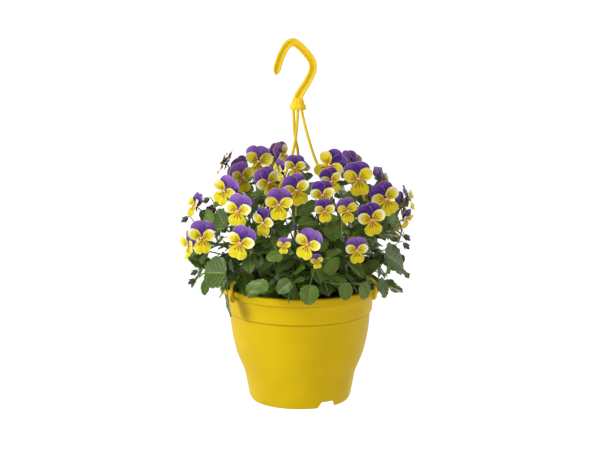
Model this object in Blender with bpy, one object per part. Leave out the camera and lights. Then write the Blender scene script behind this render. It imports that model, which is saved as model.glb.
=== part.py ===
"""Hanging basket of violas: a yellow moulded pot with a clip-on hanger, filled with flowering plants.

All sizes are millimetres, measured from the middle of the pot's base, and become metres when an
object is made. Everything hangs from one empty, which is shifted so that the inner crest of the
hook, where a bracket carries the basket, is the origin. +Z is up and the basket's front faces -Y.
"""
import math
import random
from collections import namedtuple

import bpy
import numpy as np
from mathutils import Matrix, Vector

MM = 0.001
UP = Vector((0.0, 0.0, 1.0))
SEAT_GAP = 0.35

# Pot
RIM_TOP = 171.0
LIP_RADIUS = 115.0
LIP_DEPTH = 11.0
LEDGE_INNER = 107.7
FOOT_INNER = 64.0
POT_SIDES = 32
NOTCH_ANGLES = (-56.0, 124.0)
NOTCH_WIDTH = 31.0
NOTCH_TOP_WIDTH = 24.0
NOTCH_HEIGHT = 10.0
FLOOR_UNDERSIDE = 11.0
FLOOR_TOP = 13.5
DRAIN_COUNT = 6
DRAIN_RADIUS = 4.0
DRAIN_RING = 44.0

# Soil
SOIL_EDGE = 150.0
SOIL_RADIUS = 103.0 - SEAT_GAP
SOIL_CROWN = 158.0
HOLE_RADIUS = 4.4
HOLE_DEPTH = 26.0

# Hanger
COLLAR_BOTTOM = RIM_TOP + 249.5
COLLAR_X = -3.0
SOCKET_PITCH = 6.0
SOCKET_RADIUS = 2.6
SOCKET_DEPTH = 6.0
STRAND_RADIUS = 2.2
CLIP_ANGLES = {"left": 215.0, "right": 335.0, "back": 95.0}
HOOK_WIDTH = 10.8
HOOK_THICKNESS = 9.0
HOOK_WEB = 4.4
HOOK_FLANGE = 2.4
HOOK_CREST = Vector((-9.3, 0.0, RIM_TOP + 339.4))

# Planting
PLANT_COUNT = 9
PLANT_RING = 56.0
FIRST_PLANT_ANGLE = 35.0
CROWN_RADIUS = 4.0
CROWN_TOP = 171.0
SEED = 23

# Colours, as linear base colours
YELLOW_PLASTIC = (0.72, 0.50, 0.02)
YELLOW_HANGER = (0.80, 0.60, 0.03)
PEAT = (0.035, 0.022, 0.014)
LEAF_GREEN = (0.050, 0.110, 0.022)
PURPLE = (0.150, 0.045, 0.330)
PETAL_YELLOW = (0.800, 0.640, 0.010)


def start_empty():
    """Removes what the file holds already."""
    for old in list(bpy.data.objects):
        bpy.data.objects.remove(old, do_unlink=True)


def material(name, colour, roughness):
    """A plain Principled material."""
    made = bpy.data.materials.new(name)
    made.use_nodes = True
    shader = made.node_tree.nodes["Principled BSDF"]
    shader.inputs["Base Color"].default_value = (*colour, 1.0)
    shader.inputs["Roughness"].default_value = roughness
    return made


def mesh_object(name, points, faces, materials, smooth_angle=40.0, slots=None):
    """An object from points in millimetres; slots gives each face's material number."""
    mesh = bpy.data.meshes.new(name)
    mesh.from_pydata([tuple(Vector(p) * MM) for p in points], [], faces)
    for entry in materials:
        mesh.materials.append(entry)
    if slots:
        mesh.polygons.foreach_set("material_index", slots)
    mesh.update()
    mesh.shade_smooth()
    mesh.set_sharp_from_angle(angle=math.radians(smooth_angle))
    made = bpy.data.objects.new(name, mesh)
    bpy.context.scene.collection.objects.link(made)
    return made


def boolean(target, operation, others, solver="EXACT"):
    """Applies one Boolean of a collection of bodies to the target, and removes those bodies."""
    group = bpy.data.collections.new(target.name + "_tools")
    bpy.context.scene.collection.children.link(group)
    for other in others:
        bpy.context.scene.collection.objects.unlink(other)
        group.objects.link(other)
    change = target.modifiers.new("Boolean", "BOOLEAN")
    change.operation = operation
    change.operand_type = "COLLECTION"
    change.collection = group
    change.solver = solver
    graph = bpy.context.evaluated_depsgraph_get()
    result = bpy.data.meshes.new_from_object(target.evaluated_get(graph))
    target.modifiers.clear()
    target.data = result
    for other in others:
        bpy.data.objects.remove(other, do_unlink=True)
    bpy.data.collections.remove(group)


def polar(radius, degrees, height=0.0):
    """The point at a radius and an angle from +X round the pot's axis."""
    angle = math.radians(degrees)
    return Vector((radius * math.cos(angle), radius * math.sin(angle), height))


def turned(name, profile, sides, materials):
    """A solid turned round the pot's axis from a closed outline of (radius, height) pairs.

    The outline runs up the outside and back down the inside, and a radius of 0 is one point.
    """
    points, rings = [], []
    for radius, height in profile:
        count = sides if radius > 0 else 1
        rings.append([len(points) + side for side in range(count)])
        points += [polar(radius, 360.0 * side / sides, height) for side in range(count)]
    faces = []
    for lower, upper in zip(rings, rings[1:] + rings[:1]):
        for side in range(sides):
            after = (side + 1) % sides
            if len(lower) == 1 and len(upper) == 1:
                continue
            if len(lower) == 1:
                faces.append((lower[0], upper[after], upper[side]))
            elif len(upper) == 1:
                faces.append((lower[side], lower[after], upper[0]))
            else:
                faces.append((lower[side], lower[after], upper[after], upper[side]))
    return mesh_object(name, points, faces, materials)


def prism(name, outline, low, high, materials=()):
    """An upright prism on an outline of (x, y) pairs that runs anticlockwise."""
    count = len(outline)
    points = [(x, y, z) for z in (low, high) for x, y in outline]
    faces = [tuple(range(count - 1, -1, -1)), tuple(range(count, 2 * count))]
    for side in range(count):
        after = (side + 1) % count
        faces.append((side, after, count + after, count + side))
    return mesh_object(name, points, faces, materials)


def circle_outline(centre, radius, sides):
    """The corners of a regular outline."""
    return [
        (centre.x + radius * math.cos(math.tau * side / sides),
         centre.y + radius * math.sin(math.tau * side / sides))
        for side in range(sides)
    ]


def smooth_route(stations, step):
    """Points about a step apart on a Catmull-Rom curve through hand-set stations."""
    ends = [2 * stations[0] - stations[1], *stations, 2 * stations[-1] - stations[-2]]
    route = []
    for before, start, end, after in zip(ends, ends[1:], ends[2:], ends[3:]):
        pieces = max(1, round((end - start).length / step))
        for piece in range(pieces):
            t = piece / pieces
            route.append(0.5 * (
                2 * start + (end - before) * t
                + (2 * before - 5 * start + 4 * end - after) * t ** 2
                + (3 * start - before - 3 * end + after) * t ** 3
            ))
    return route + [stations[-1].copy()]


def swept(route, sections, flat=None):
    """Points and faces of a bar along a route, with an outline of (side, front) pairs at each point.

    The side direction stays square to flat where it is given, and else turns as little as it can.
    """
    points, faces = [], []
    side = None
    for number, place in enumerate(route):
        ahead = route[min(number + 1, len(route) - 1)] - route[max(number - 1, 0)]
        ahead.normalize()
        if flat:
            side = ahead.cross(flat).normalized()
        elif side is None:
            side = ahead.orthogonal().normalized()
        else:
            side = (side - ahead * side.dot(ahead)).normalized()
        front = side.cross(ahead)
        points += [place + side * s + front * f for s, f in sections[number]]
    count = len(sections[0])
    for ring in range(len(route) - 1):
        for corner in range(count):
            after = (corner + 1) % count
            low, high = ring * count, (ring + 1) * count
            faces.append((low + corner, high + corner, high + after, low + after))
    faces.append(tuple(range(count)))
    faces.append(tuple(range(len(points) - 1, len(points) - count - 1, -1)))
    return points, faces


def round_section(radius, sides):
    """A round outline for swept."""
    turns = [math.tau * side / sides for side in range(sides)]
    return [(radius * math.cos(turn), radius * math.sin(turn)) for turn in turns]


# Pot and soil

def pot_outline():
    """The pot's section: up the outside, over the ledge of the lip and down the inside."""
    outside = [
        (FOOT_INNER, 0), (68.5, 0), (70.5, 2.5), (73.1, 8), (75.5, 21), (79.2, 40), (83.6, 52),
        (89.5, 66), (94.5, 84), (97.5, 102), (98.8, 131), (103, 135), (104.5, 147),
        (110.4, RIM_TOP - LIP_DEPTH), (LIP_RADIUS, RIM_TOP - LIP_DEPTH),
        (LIP_RADIUS, RIM_TOP - 1.2), (LIP_RADIUS - 1.2, RIM_TOP),
    ]
    floor = [(0, FLOOR_TOP), (0, FLOOR_UNDERSIDE), (FOOT_INNER + 1, FLOOR_UNDERSIDE)]
    return outside + pot_inside() + floor


def pot_inside():
    """The inner wall, from the ledge down to the floor."""
    return [
        (LEDGE_INNER, RIM_TOP), (LEDGE_INNER, 160), (102.3, 147), (96.6, 131), (95.4, 104), (77.0, 41),
        (71.0, FLOOR_TOP),
    ]


def make_pot(finish):
    """The pot, with two notches cut in its foot ring and drain holes in its raised floor."""
    pot = turned("pot", pot_outline(), POT_SIDES, [finish])
    cutters = []
    for angle in NOTCH_ANGLES:
        half, half_top = NOTCH_WIDTH / 2, NOTCH_TOP_WIDTH / 2
        outline = [(-half, -1), (half, -1), (half_top, NOTCH_HEIGHT), (-half_top, NOTCH_HEIGHT)]
        count = len(outline)
        turn = Matrix.Rotation(math.radians(angle), 3, "Z")
        corners = [turn @ Vector((reach, x, z)) for reach in (60.0, 80.0) for x, z in outline]
        faces = [tuple(range(count - 1, -1, -1)), tuple(range(count, 2 * count))]
        faces += [(s, (s + 1) % count, count + (s + 1) % count, count + s) for s in range(count)]
        cutters.append(mesh_object("notch", corners, faces, []))
    for hole in range(DRAIN_COUNT):
        centre = polar(DRAIN_RING, 360.0 * hole / DRAIN_COUNT)
        cutters.append(prism("drain", circle_outline(centre, DRAIN_RADIUS, 8), 8.0, 16.0))
    boolean(pot, "DIFFERENCE", cutters)
    return pot


def make_soil(finish):
    """The soil, which fills the pot to below its rim, with a plain hole for each plant."""
    wall = [
        (radius - SEAT_GAP - 0.1, height)
        for radius, height in reversed(pot_inside()) if height < SOIL_EDGE
    ]
    wall[0] = (wall[0][0], FLOOR_TOP + SEAT_GAP)
    top = [(SOIL_RADIUS, SOIL_EDGE), (80, SOIL_EDGE + 5), (30, SOIL_CROWN), (0, SOIL_CROWN)]
    outline = [(0, FLOOR_TOP + SEAT_GAP), *wall, *top]
    soil = turned("soil", outline, POT_SIDES, [finish])
    holes = []
    for angle in plant_angles():
        outline = circle_outline(polar(PLANT_RING, angle), HOLE_RADIUS, 8)
        holes.append(prism("hole", outline, SOIL_CROWN - HOLE_DEPTH, SOIL_CROWN + 5))
    boolean(soil, "DIFFERENCE", holes)
    return soil


# Hanger

def at(x, y, above_rim):
    """A point by its height above the rim."""
    return Vector((x, y, RIM_TOP + above_rim))


def hook_route():
    """The middle line of the hook, from its tip over the crest and down into the collar."""
    return smooth_route([
        at(-33.5, 0, 299), at(-31.5, 0, 311), at(-25.5, 0, 328), at(-17.5, 0, 341.5), at(-8.8, 0, 345),
        at(0.0, 0, 339.5), at(10.5, 0, 328), at(17.2, 0, 317.5), at(17.6, 0, 304.5), at(10.3, 0, 288.6),
        at(2.0, 0, 275.5), at(-2.6, 0, 266), at(COLLAR_X, 0, 256),
    ], 10.0)


def hook_section(scale):
    """An I-shaped outline: the arm is hollowed along its front and its back."""
    half, web = scale * HOOK_WIDTH / 2, scale * HOOK_WIDTH / 2 - HOOK_FLANGE
    deep, shallow = scale * HOOK_THICKNESS / 2, scale * HOOK_WEB / 2
    quarter = [(half, deep), (web, deep), (web, shallow)]
    left = [(-x, y) for x, y in reversed(quarter)]
    upper = quarter + left
    return upper + [(-x, -y) for x, y in upper]


def make_hook(finish):
    """The hook and its collar, which has a socket for each strand of the hanger."""
    route = hook_route()
    scales = [min(1.0, 0.62 + 0.2 * number) for number in range(len(route))]
    points, faces = swept(route, [hook_section(scale) for scale in scales], Vector((0, 1, 0)))
    hook = mesh_object("hook", points, faces, [finish])
    levels = [(0, 11.6, 7.6), (7.2, 11.6, 7.6), (7.2, 10.6, 6.6), (17, 8.6, 5.8), (24, 5.6, 4.7)]
    corners = [
        Vector((COLLAR_X + x * wide, y * deep, COLLAR_BOTTOM + rise))
        for rise, wide, deep in levels
        for x, y in ((-1, -0.6), (-0.8, -1), (0.8, -1), (1, -0.6), (1, 0.6), (0.8, 1), (-0.8, 1), (-1, 0.6))
    ]
    faces = [tuple(range(7, -1, -1)), tuple(range(len(corners) - 8, len(corners)))]
    for level in range(len(levels) - 1):
        for side in range(8):
            low, after = level * 8, (side + 1) % 8
            faces.append((low + side, low + after, low + 8 + after, low + 8 + side))
    collar = mesh_object("collar", corners, faces, [finish])
    boolean(hook, "UNION", [collar])
    sockets = []
    for place in (-1, 0, 1):
        centre = Vector((COLLAR_X + place * SOCKET_PITCH, 0, 0))
        outline = circle_outline(centre, SOCKET_RADIUS, 8)
        sockets.append(prism("socket", outline, COLLAR_BOTTOM - 1, COLLAR_BOTTOM + SOCKET_DEPTH))
    boolean(hook, "DIFFERENCE", sockets)
    return hook


def strand_route(name):
    """A strand's middle line: out of the collar, down between the flowers and over the lip."""
    top = COLLAR_BOTTOM - RIM_TOP + SOCKET_DEPTH - 0.5
    heads = {
        "left": [(-3.0, 0, top), (-3.0, 0, 245), (-5.9, -3.2, 212), (-11.3, -8.2, 185), (-20.8, -14.8, 159)],
        "right": [(3.0, 0, top), (3.0, 0, 245), (9.0, -1.5, 219), (20.1, -8.0, 183), (31.0, -14.4, 160)],
        "back": [(-9.0, 0, top), (-9.0, 0, 245), (-7.3, 4.6, 212), (-3.5, 11.0, 190), (-0.5, 24.0, 161)],
    }
    clip = [
        (84.0, 52.0), (101.7, 19.6), (107.2, 15.6), (113.0, 13.8), (117.0, 9.6), (117.8, 3.0),
        (117.7, -9.5), (116.0, -13.4), (113.2, -14.0),
    ]
    head = [at(*point) for point in heads[name]]
    foot = [polar(reach, CLIP_ANGLES[name], RIM_TOP + height) for reach, height in clip]
    return smooth_route(head, 18.0) + smooth_route(foot, 9.0)


def make_strand(name, finish):
    """One strand of the hanger, with the clip that hooks over the pot's lip at its foot."""
    route = strand_route(name)
    sections = [round_section(STRAND_RADIUS, 6) for _ in route]
    sections[-1] = round_section(STRAND_RADIUS * 0.75, 6)
    points, faces = swept(route, sections)
    return mesh_object("strand_" + name, points, faces, [finish])


# Planting plan

# The photograph's eye point, and the rounded mass that the flowers stand on
EYE = Vector((0.0, -3913.0, RIM_TOP + 914.0))
DOME_REACH = 158.0
DOME_RISE = 152.0
DOME_MIDDLE = RIM_TOP + 30.0
DOME_POWER = 3.0
SINK_STEP = 3.0
SINK_LIMIT = 90.0

Bloom = namedtuple("Bloom", "place turn size")
Leaf = namedtuple("Leaf", "root base along face length width bend")
Stem = namedtuple("Stem", "curve plant bloom")

# Each flower as the front view shows it: millimetres right of the pot's axis and above the rim,
# size, then its face's turn to the right, its tilt up and its lean to the left, in degrees
FRONT_FLOWERS = (
    (-30, 112, 1.02, 0, 2, 0), (35, 103, 0.75, 8, 0, 4), (102, 90, 1.05, 14, 4, 12),
    (67, 103, 0.82, 25, 0, 8), (-140, 64, 1.08, -8, 4, 0), (-85, 56, 1.08, -16, 6, -16),
    (11, 54, 1.00, -18, 4, -20), (81, 45, 0.84, 6, 2, 2), (-23, 52, 0.52, -4, 6, 0),
    (24, 29, 0.48, 6, -6, 10), (-52, 86, 0.92, -32, -4, -10), (-88, 103, 1.05, -20, 2, -6),
    (-5, 133, 1.02, 6, 4, 20), (32, 126, 0.90, 4, 0, 6), (122, 120, 1.10, 16, 6, 24),
    (83, 149, 1.12, 6, 12, 6), (44, 146, 0.84, 12, 4, 18), (-45, 144, 1.00, 30, 6, 24),
    (-107, 132, 0.98, -26, 2, -30), (-159, 52, 0.98, -62, 0, -4), (-59, 174, 1.08, 22, 14, -8),
    (-82, 151, 1.00, 38, 4, 8), (-7, 166, 0.80, 0, 0, 0), (42, 169, 1.10, -12, 18, -44),
    (-151, 112, 0.84, -62, 22, 0), (152, 91, 0.66, 52, -18, 0), (156, 122, 0.90, 84, 18, 0),
    (-108, 174, 0.92, -98, 26, 0), (-30, 162, 0.74, -64, 0, 0), (-24, 184, 0.86, 62, 16, 34),
    (115, 148, 0.92, 112, 10, 0), (98, 122, 0.80, -118, 0, 0),
)
BACK_FLOWERS = 13
FLOWER_COUNT = len(FRONT_FLOWERS) + BACK_FLOWERS

# Leaves that shape the front view: millimetres right and above the rim of the blade's foot and of
# its tip, how far the blade stands off the dome, and its width over its length
FRONT_LEAVES = (
    (-106, 12, -140, 14, 0, 0.80), (-112, 4, -134, -6, 6, 0.85), (144, 66, 176, 70, -30, 0.62),
    (122, 40, 152, 22, -14, 0.62), (112, 24, 138, 6, -6, 0.58), (112, 0, 128, -22, 0, 0.62),
    (14, -6, 12, -36, 8, 0.90), (62, -4, 70, -28, 6, 0.80), (88, -4, 98, -26, 4, 0.80),
    (38, 66, 60, 84, -22, 0.86), (-22, 62, -44, 84, -24, 0.86), (4, 96, -12, 118, -26, 0.80),
    (-150, 68, -176, 60, -10, 0.70), (10, 176, 16, 198, -30, 0.70), (-106, 80, -122, 104, -26, 0.72),
    (-46, -6, -80, -10, 4, 0.55), (-14, 0, -34, -16, 6, 0.80), (128, 84, 140, 104, -28, 0.72),
)


def plant_angles():
    """The angle of each plant round the pot; no plant stands under a strand."""
    return [FIRST_PLANT_ANGLE + 360.0 * plant / PLANT_COUNT for plant in range(PLANT_COUNT)]


def dome_level(place):
    """1 on the flower dome, less inside it and more outside."""
    reach = math.hypot(place.x, place.y) / DOME_REACH
    rise = abs(place.z - DOME_MIDDLE) / DOME_RISE
    return reach ** DOME_POWER + rise ** DOME_POWER


def on_dome(right, above, sink):
    """The point of the dome that the front view shows at this place, moved away by sink."""
    plane = at(right, 0, above)
    toward = (EYE - plane).normalized()
    steps = [plane + toward * distance for distance in range(210, -210, -2)]
    inside = [step for step in steps if dome_level(step) < 1]
    nearest = inside[0] if inside else min(steps, key=dome_level)
    return nearest - toward * sink


class Space:
    """What is planted so far, as balls, so that nothing new runs through it."""

    def __init__(self):
        self.balls = np.zeros((0, 4))
        self.owners = np.zeros(0, dtype=int)

    def add(self, places, size, owner):
        """Fills balls of one size round the places."""
        fresh = np.array([(*place, size) for place in places])
        self.balls = np.vstack([self.balls, fresh])
        self.owners = np.append(self.owners, [owner] * len(places))

    def free(self, places, size, owners, share=0.0):
        """True where the places keep off all others' balls, and off their owners' by a share."""
        fresh = np.array([tuple(place) for place in places])
        apart = np.linalg.norm(fresh[:, None, :] - self.balls[None, :, :3], axis=2)
        need = (self.balls[:, 3] + size) * np.where(np.isin(self.owners, owners), share, 1.0)
        return bool((apart >= need[None, :]).all())


def off_pot(places, size):
    """True where the places keep off the pot and the soil."""
    for place in places:
        reach = math.hypot(place.x, place.y)
        inside = reach < LEDGE_INNER - size and place.z > SOIL_CROWN + size
        if not (place.z > RIM_TOP + size or reach > LIP_RADIUS + size or inside):
            return False
    return True


def flower_balls(bloom):
    """Places all over a flower's face and the sepals behind it."""
    spots = [Vector((0.0, 0.0, 0.0))]
    spots += [clock(72 + 72 * number, 6.0, -5.5) for number in range(5)]
    for petal in PETALS:
        for t, s in ((0.45, 0.0), (0.92, 0.0), (0.70, 0.6), (0.70, -0.6)):
            ahead, side = clock(petal.angle, HUB_RADIUS + petal.length * t), clock(petal.angle + 90, 1)
            forward = petal.layer + petal.lean * t * t
            spots.append(ahead + side * petal.width / 2 * s - Vector((0, forward, 0)))
    return [bloom.place + bloom.turn @ spot * bloom.size for spot in spots]


def leaf_balls(leaf):
    """Places all over a leaf's blade."""
    side = leaf.along.cross(leaf.face)
    spots = (
        (0.06, 0), (0.16, 0.5), (0.16, -0.5), (0.34, 0.6), (0.34, -0.6), (0.32, 0), (0.56, 0.62),
        (0.56, -0.62), (0.62, 0), (0.80, 0.42), (0.80, -0.42), (0.94, 0),
    )
    return [
        leaf.base + leaf.along * leaf.length * t + side * leaf.width * 0.5 * s
        - leaf.face * leaf.bend * t * t for t, s in spots
    ]


def curve_point(curve, t):
    """A point on a cubic Bezier curve."""
    a, b, c, d = curve
    u = 1 - t
    return a * u ** 3 + b * (3 * t * u * u) + c * (3 * t * t * u) + d * t ** 3


def along_line(start, end, step=4.5):
    """Places along a straight piece of stem, without its first."""
    count = max(1, round((end - start).length / step))
    return [start.lerp(end, (number + 1) / count) for number in range(count)]


def stem_places(curve):
    """Places along a stem's straight pieces, short of its flower."""
    corners = [curve_point(curve, t) for t in STEM_STEPS[:-1]] + [curve_point(curve, 0.94)]
    return [place for start, end in zip(corners, corners[1:]) for place in along_line(start, end)]


def face_turn(turn, tilt, lean):
    """The rotation of a flower that faces -Y at first."""
    spin = Matrix.Rotation(math.radians(turn), 3, "Z")
    nod = Matrix.Rotation(math.radians(-tilt), 3, "X")
    roll = Matrix.Rotation(math.radians(-lean), 3, "Y")
    return spin @ nod @ roll


LEAF_SITES = (0.32, 0.52, 0.70, 0.86)
STEM_STEPS = (0.0, *LEAF_SITES, 1.0)
FLOWER_BALL = 4.2
LEAF_BALL = 3.7
STEM_BALL = 1.7
STRAND_BALL = 4.0
STRAND_OWNER = -1
FIRST_FLOWER_OWNER = 100
CALYX_DEPTH = 4.5
PLANTS_TRIED = 3
STALK_TRIES = 120
SHOOTS_PER_PLANT = 2
SHOOT_TRIES = 120
LEAF_TRIES = 26
LEAF_COUNT = 84
FRONT_LEAF_BEND = 5.0


def plan_flowers(space, draw):
    """Places the flowers, front ones first, each sunk until it keeps off those before it."""
    blooms = []

    def place(right, above, size, turn, level=None):
        for step in range(int(SINK_LIMIT / SINK_STEP)):
            sink = step * SINK_STEP
            spot = on_dome(right, above, sink) if level is None else level(sink)
            bloom = Bloom(spot, turn, size)
            if space.free(flower_balls(bloom), FLOWER_BALL * size, []):
                space.add(flower_balls(bloom), FLOWER_BALL * size, FIRST_FLOWER_OWNER + len(blooms))
                blooms.append(bloom)
                return

    for right, above, size, turn, tilt, lean in FRONT_FLOWERS:
        place(right, above, size, face_turn(turn, tilt, lean))
    step = 0
    while len(blooms) < FLOWER_COUNT:
        step += 1
        angle = 12.0 + (step * 97.5) % 156.0
        above = 30.0 + (step * 61.8) % 140.0
        size = draw.uniform(0.85, 1.08)
        turn = face_turn(angle + 90 + draw.uniform(-25, 25), draw.uniform(-4, 22), draw.uniform(-15, 15))
        rise = abs(RIM_TOP + above - DOME_MIDDLE) / DOME_RISE
        reach = DOME_REACH * (1 - min(0.97, rise) ** DOME_POWER) ** (1 / DOME_POWER)

        def level(sink, reach=reach, angle=angle, above=above):
            return polar(reach - sink, angle, RIM_TOP + above)

        place(0, 0, size, turn, level)
    return blooms


def crown_edge(plant, goal, others):
    """Where a stem that makes for a goal leaves its plant's crown, lower with more stems there."""
    centre = polar(PLANT_RING, plant_angles()[plant])
    outward = Vector((goal.x - centre.x, goal.y - centre.y, 0)).normalized()
    rank = sum(stem.plant == plant for stem in others)
    return centre + outward * CROWN_RADIUS * 0.6 + UP * (CROWN_TOP - 1.8 - 2.4 * (rank % 4))


def plan_stalks(space, draw, blooms):
    """A stalk from a plant's crown to the back of each flower."""
    stems = []
    for number, bloom in enumerate(blooms):
        back = bloom.turn @ Vector((0, 1, 0))
        end = bloom.place + back * CALYX_DEPTH * bloom.size

        def reach(plant, end=end):
            return (polar(75, plant_angles()[plant], RIM_TOP) - end).length

        plants = sorted(range(PLANT_COUNT), key=reach)[:PLANTS_TRIED]
        for attempt in range(PLANTS_TRIED * STALK_TRIES):
            plant = plants[attempt // STALK_TRIES]
            start = crown_edge(plant, end, stems)
            loose = min(1.0, attempt / 40.0)
            sway = Vector([draw.uniform(-1, 1) for _ in range(3)])
            rise = (end - start).length
            first = start + UP * rise * 0.42 + (end - start) * 0.12 + sway * 26 * loose
            hook = end + back * 17 - UP * 15 + Vector([draw.uniform(-1, 1) for _ in range(3)]) * 12 * loose
            curve = (start, first, hook, end)
            places = stem_places(curve)
            own = [plant, FIRST_FLOWER_OWNER + number]
            free = off_pot(places, STEM_BALL) and space.free(places, STEM_BALL, own)
            if free and clear_of_own(curve, bloom):
                space.add(places, STEM_BALL, plant)
                stems.append(Stem(curve, plant, number))
                break
        else:
            raise ValueError("no stalk reaches flower %d" % number)
    return stems


def clear_of_own(curve, bloom):
    """True where a stalk stays behind its own flower."""
    back = bloom.turn @ Vector((0, 1, 0))
    for t in np.linspace(0.6, 0.96, 10):
        offset = curve_point(curve, t) - bloom.place
        if offset.length < 24 * bloom.size and offset.dot(back) < 3.0:
            return False
    return True


def plan_shoots(space, draw, others):
    """Leafy shoots that lean out over the rim, where no flower stands."""
    stems = []
    for plant, middle in enumerate(plant_angles()):
        for shoot in range(SHOOTS_PER_PLANT):
            for _ in range(SHOOT_TRIES):
                angle = middle + (-13, 13)[shoot] + draw.uniform(-7, 7)
                start = crown_edge(plant, polar(150, angle), stems + others)
                first = polar(78, angle, RIM_TOP + draw.uniform(30, 52))
                over = polar(draw.uniform(112, 124), angle, RIM_TOP + draw.uniform(26, 48))
                end = polar(draw.uniform(134, 148), angle, RIM_TOP + draw.uniform(-2, 34))
                curve = (start, first, over, end)
                places = stem_places(curve)
                if off_pot(places, STEM_BALL + 1) and space.free(places, STEM_BALL, [plant]):
                    space.add(places, STEM_BALL, plant)
                    stems.append(Stem(curve, plant, None))
                    break
    return stems


def try_leaf(space, leaf, plant):
    """Adds a leaf where its blade and its petiole are clear of everything."""
    blade = leaf_balls(leaf)
    steps = along_line(leaf.root, leaf.base)
    if not off_pot(blade + steps, 1.2):
        return False
    if not space.free(blade, LEAF_BALL, [plant], 0.95) or not space.free(steps, 1.2, [plant], 0.85):
        return False
    space.add(blade, LEAF_BALL, plant)
    space.add(steps, 1.2, plant)
    return True


def squared(face, along):
    """The part of face that is square to along, as a unit vector."""
    return (face - along * face.dot(along)).normalized()


def plan_leaves(space, draw, stems, wanted):
    """The leaves that shape the front view, and then leaves along every stem by a rule."""
    leaves = []
    for right, above, tip_right, tip_above, proud, ratio in FRONT_LEAVES:
        foot = on_dome(right, above, -proud)
        tip = on_dome(tip_right, tip_above, -proud)
        along = (tip - foot).normalized()
        length = (tip - foot).length
        out = Vector((foot.x, foot.y, 60)).normalized()
        spots = []
        for number, stem in enumerate(stems):
            for t in LEAF_SITES:
                root = curve_point(stem.curve, t)
                spots.append(((root - foot).length, number, root))
        spots.sort(key=lambda spot: spot[0])
        for distance, number, root in spots[:12]:
            face = squared(out, along)
            leaf = Leaf(root, foot, along, face, length, length * ratio, FRONT_LEAF_BEND)
            if distance > 6 and try_leaf(space, leaf, stems[number].plant):
                leaves.append((leaf, stems[number].plant))
                break
    sites = [(stem, t) for t in LEAF_SITES for stem in stems]
    draw.shuffle(sites)
    for stem, t in sites:
        if len(leaves) >= wanted:
            break
        root = curve_point(stem.curve, t)
        ahead = (curve_point(stem.curve, t + 0.03) - root).normalized()
        out = Vector((root.x, root.y, 0)).normalized()
        for _ in range(LEAF_TRIES):
            sway = Vector([draw.uniform(-1, 1) for _ in range(3)])
            along = squared(out * 0.8 + sway + ahead * 0.3 - UP * 0.1, ahead) + ahead * 0.35 + out * 0.35
            along.normalize()
            length = draw.uniform(23, 36)
            petiole = draw.uniform(7, 20)
            droop = -UP * draw.uniform(-0.2, 0.5)
            base = root + along * petiole
            blade = (along + droop).normalized()
            face = squared(UP * 0.8 + out * 0.7 + sway * 0.25, blade)
            width = length * draw.uniform(0.66, 0.84)
            leaf = Leaf(root, base, blade, face, length, width, draw.uniform(2, 7))
            if dome_level(base + blade * length) < 1.12 and try_leaf(space, leaf, stem.plant):
                leaves.append((leaf, stem.plant))
                break
    return leaves


def plan():
    """The whole planting: flowers, stems and leaves."""
    draw = random.Random(SEED)
    space = Space()
    for name in CLIP_ANGLES:
        route = strand_route(name)
        for start, end in zip(route, route[1:]):
            space.add(along_line(start, end), STRAND_BALL, STRAND_OWNER)
    blooms = plan_flowers(space, draw)
    stems = plan_stalks(space, draw, blooms)
    stems += plan_shoots(space, draw, stems)
    leaves = plan_leaves(space, draw, stems, LEAF_COUNT)
    return blooms, stems, leaves


# Flowers

Petal = namedtuple("Petal", "angle length width layer lean rows slot")

# Petals by their angle from straight up, clockwise as seen from the front. layer is how far the
# blade stands in front of the hub and lean how much further its tip does. rows are the outline's
# (distance along, half width) pairs, as shares of the length and of the half width. Petals that
# overlap have a narrow neck, which keeps them in their own sectors until their layers are apart
ROUND = ((0.12, 0.18), (0.42, 0.92), (0.84, 0.78))
OVAL = ((0.12, 0.20), (0.45, 0.96), (0.85, 0.74))
FAN = ((0.28, 0.60), (0.84, 0.96))
PETALS = (
    Petal(26, 20.5, 22.0, -2.6, -2.2, ROUND, 0), Petal(80, 17.0, 15.5, 1.9, 1.2, OVAL, 1),
    Petal(180, 18.5, 23.0, 0.3, 1.6, FAN, 1), Petal(280, 17.0, 15.5, 1.9, 1.2, OVAL, 1),
    Petal(334, 20.5, 22.0, -1.2, -1.8, ROUND, 0),
)
HUB_RADIUS = 2.6
HUB_FRONT = 0.7
HUB_BACK = 1.3
BLADE_HALF = 0.55


def clock(angle, distance, forward=0.0):
    """A point of the flower: an angle from straight up, a distance out and one forward."""
    turn = math.radians(angle)
    return Vector((distance * math.sin(turn), -forward, distance * math.cos(turn)))


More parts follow.
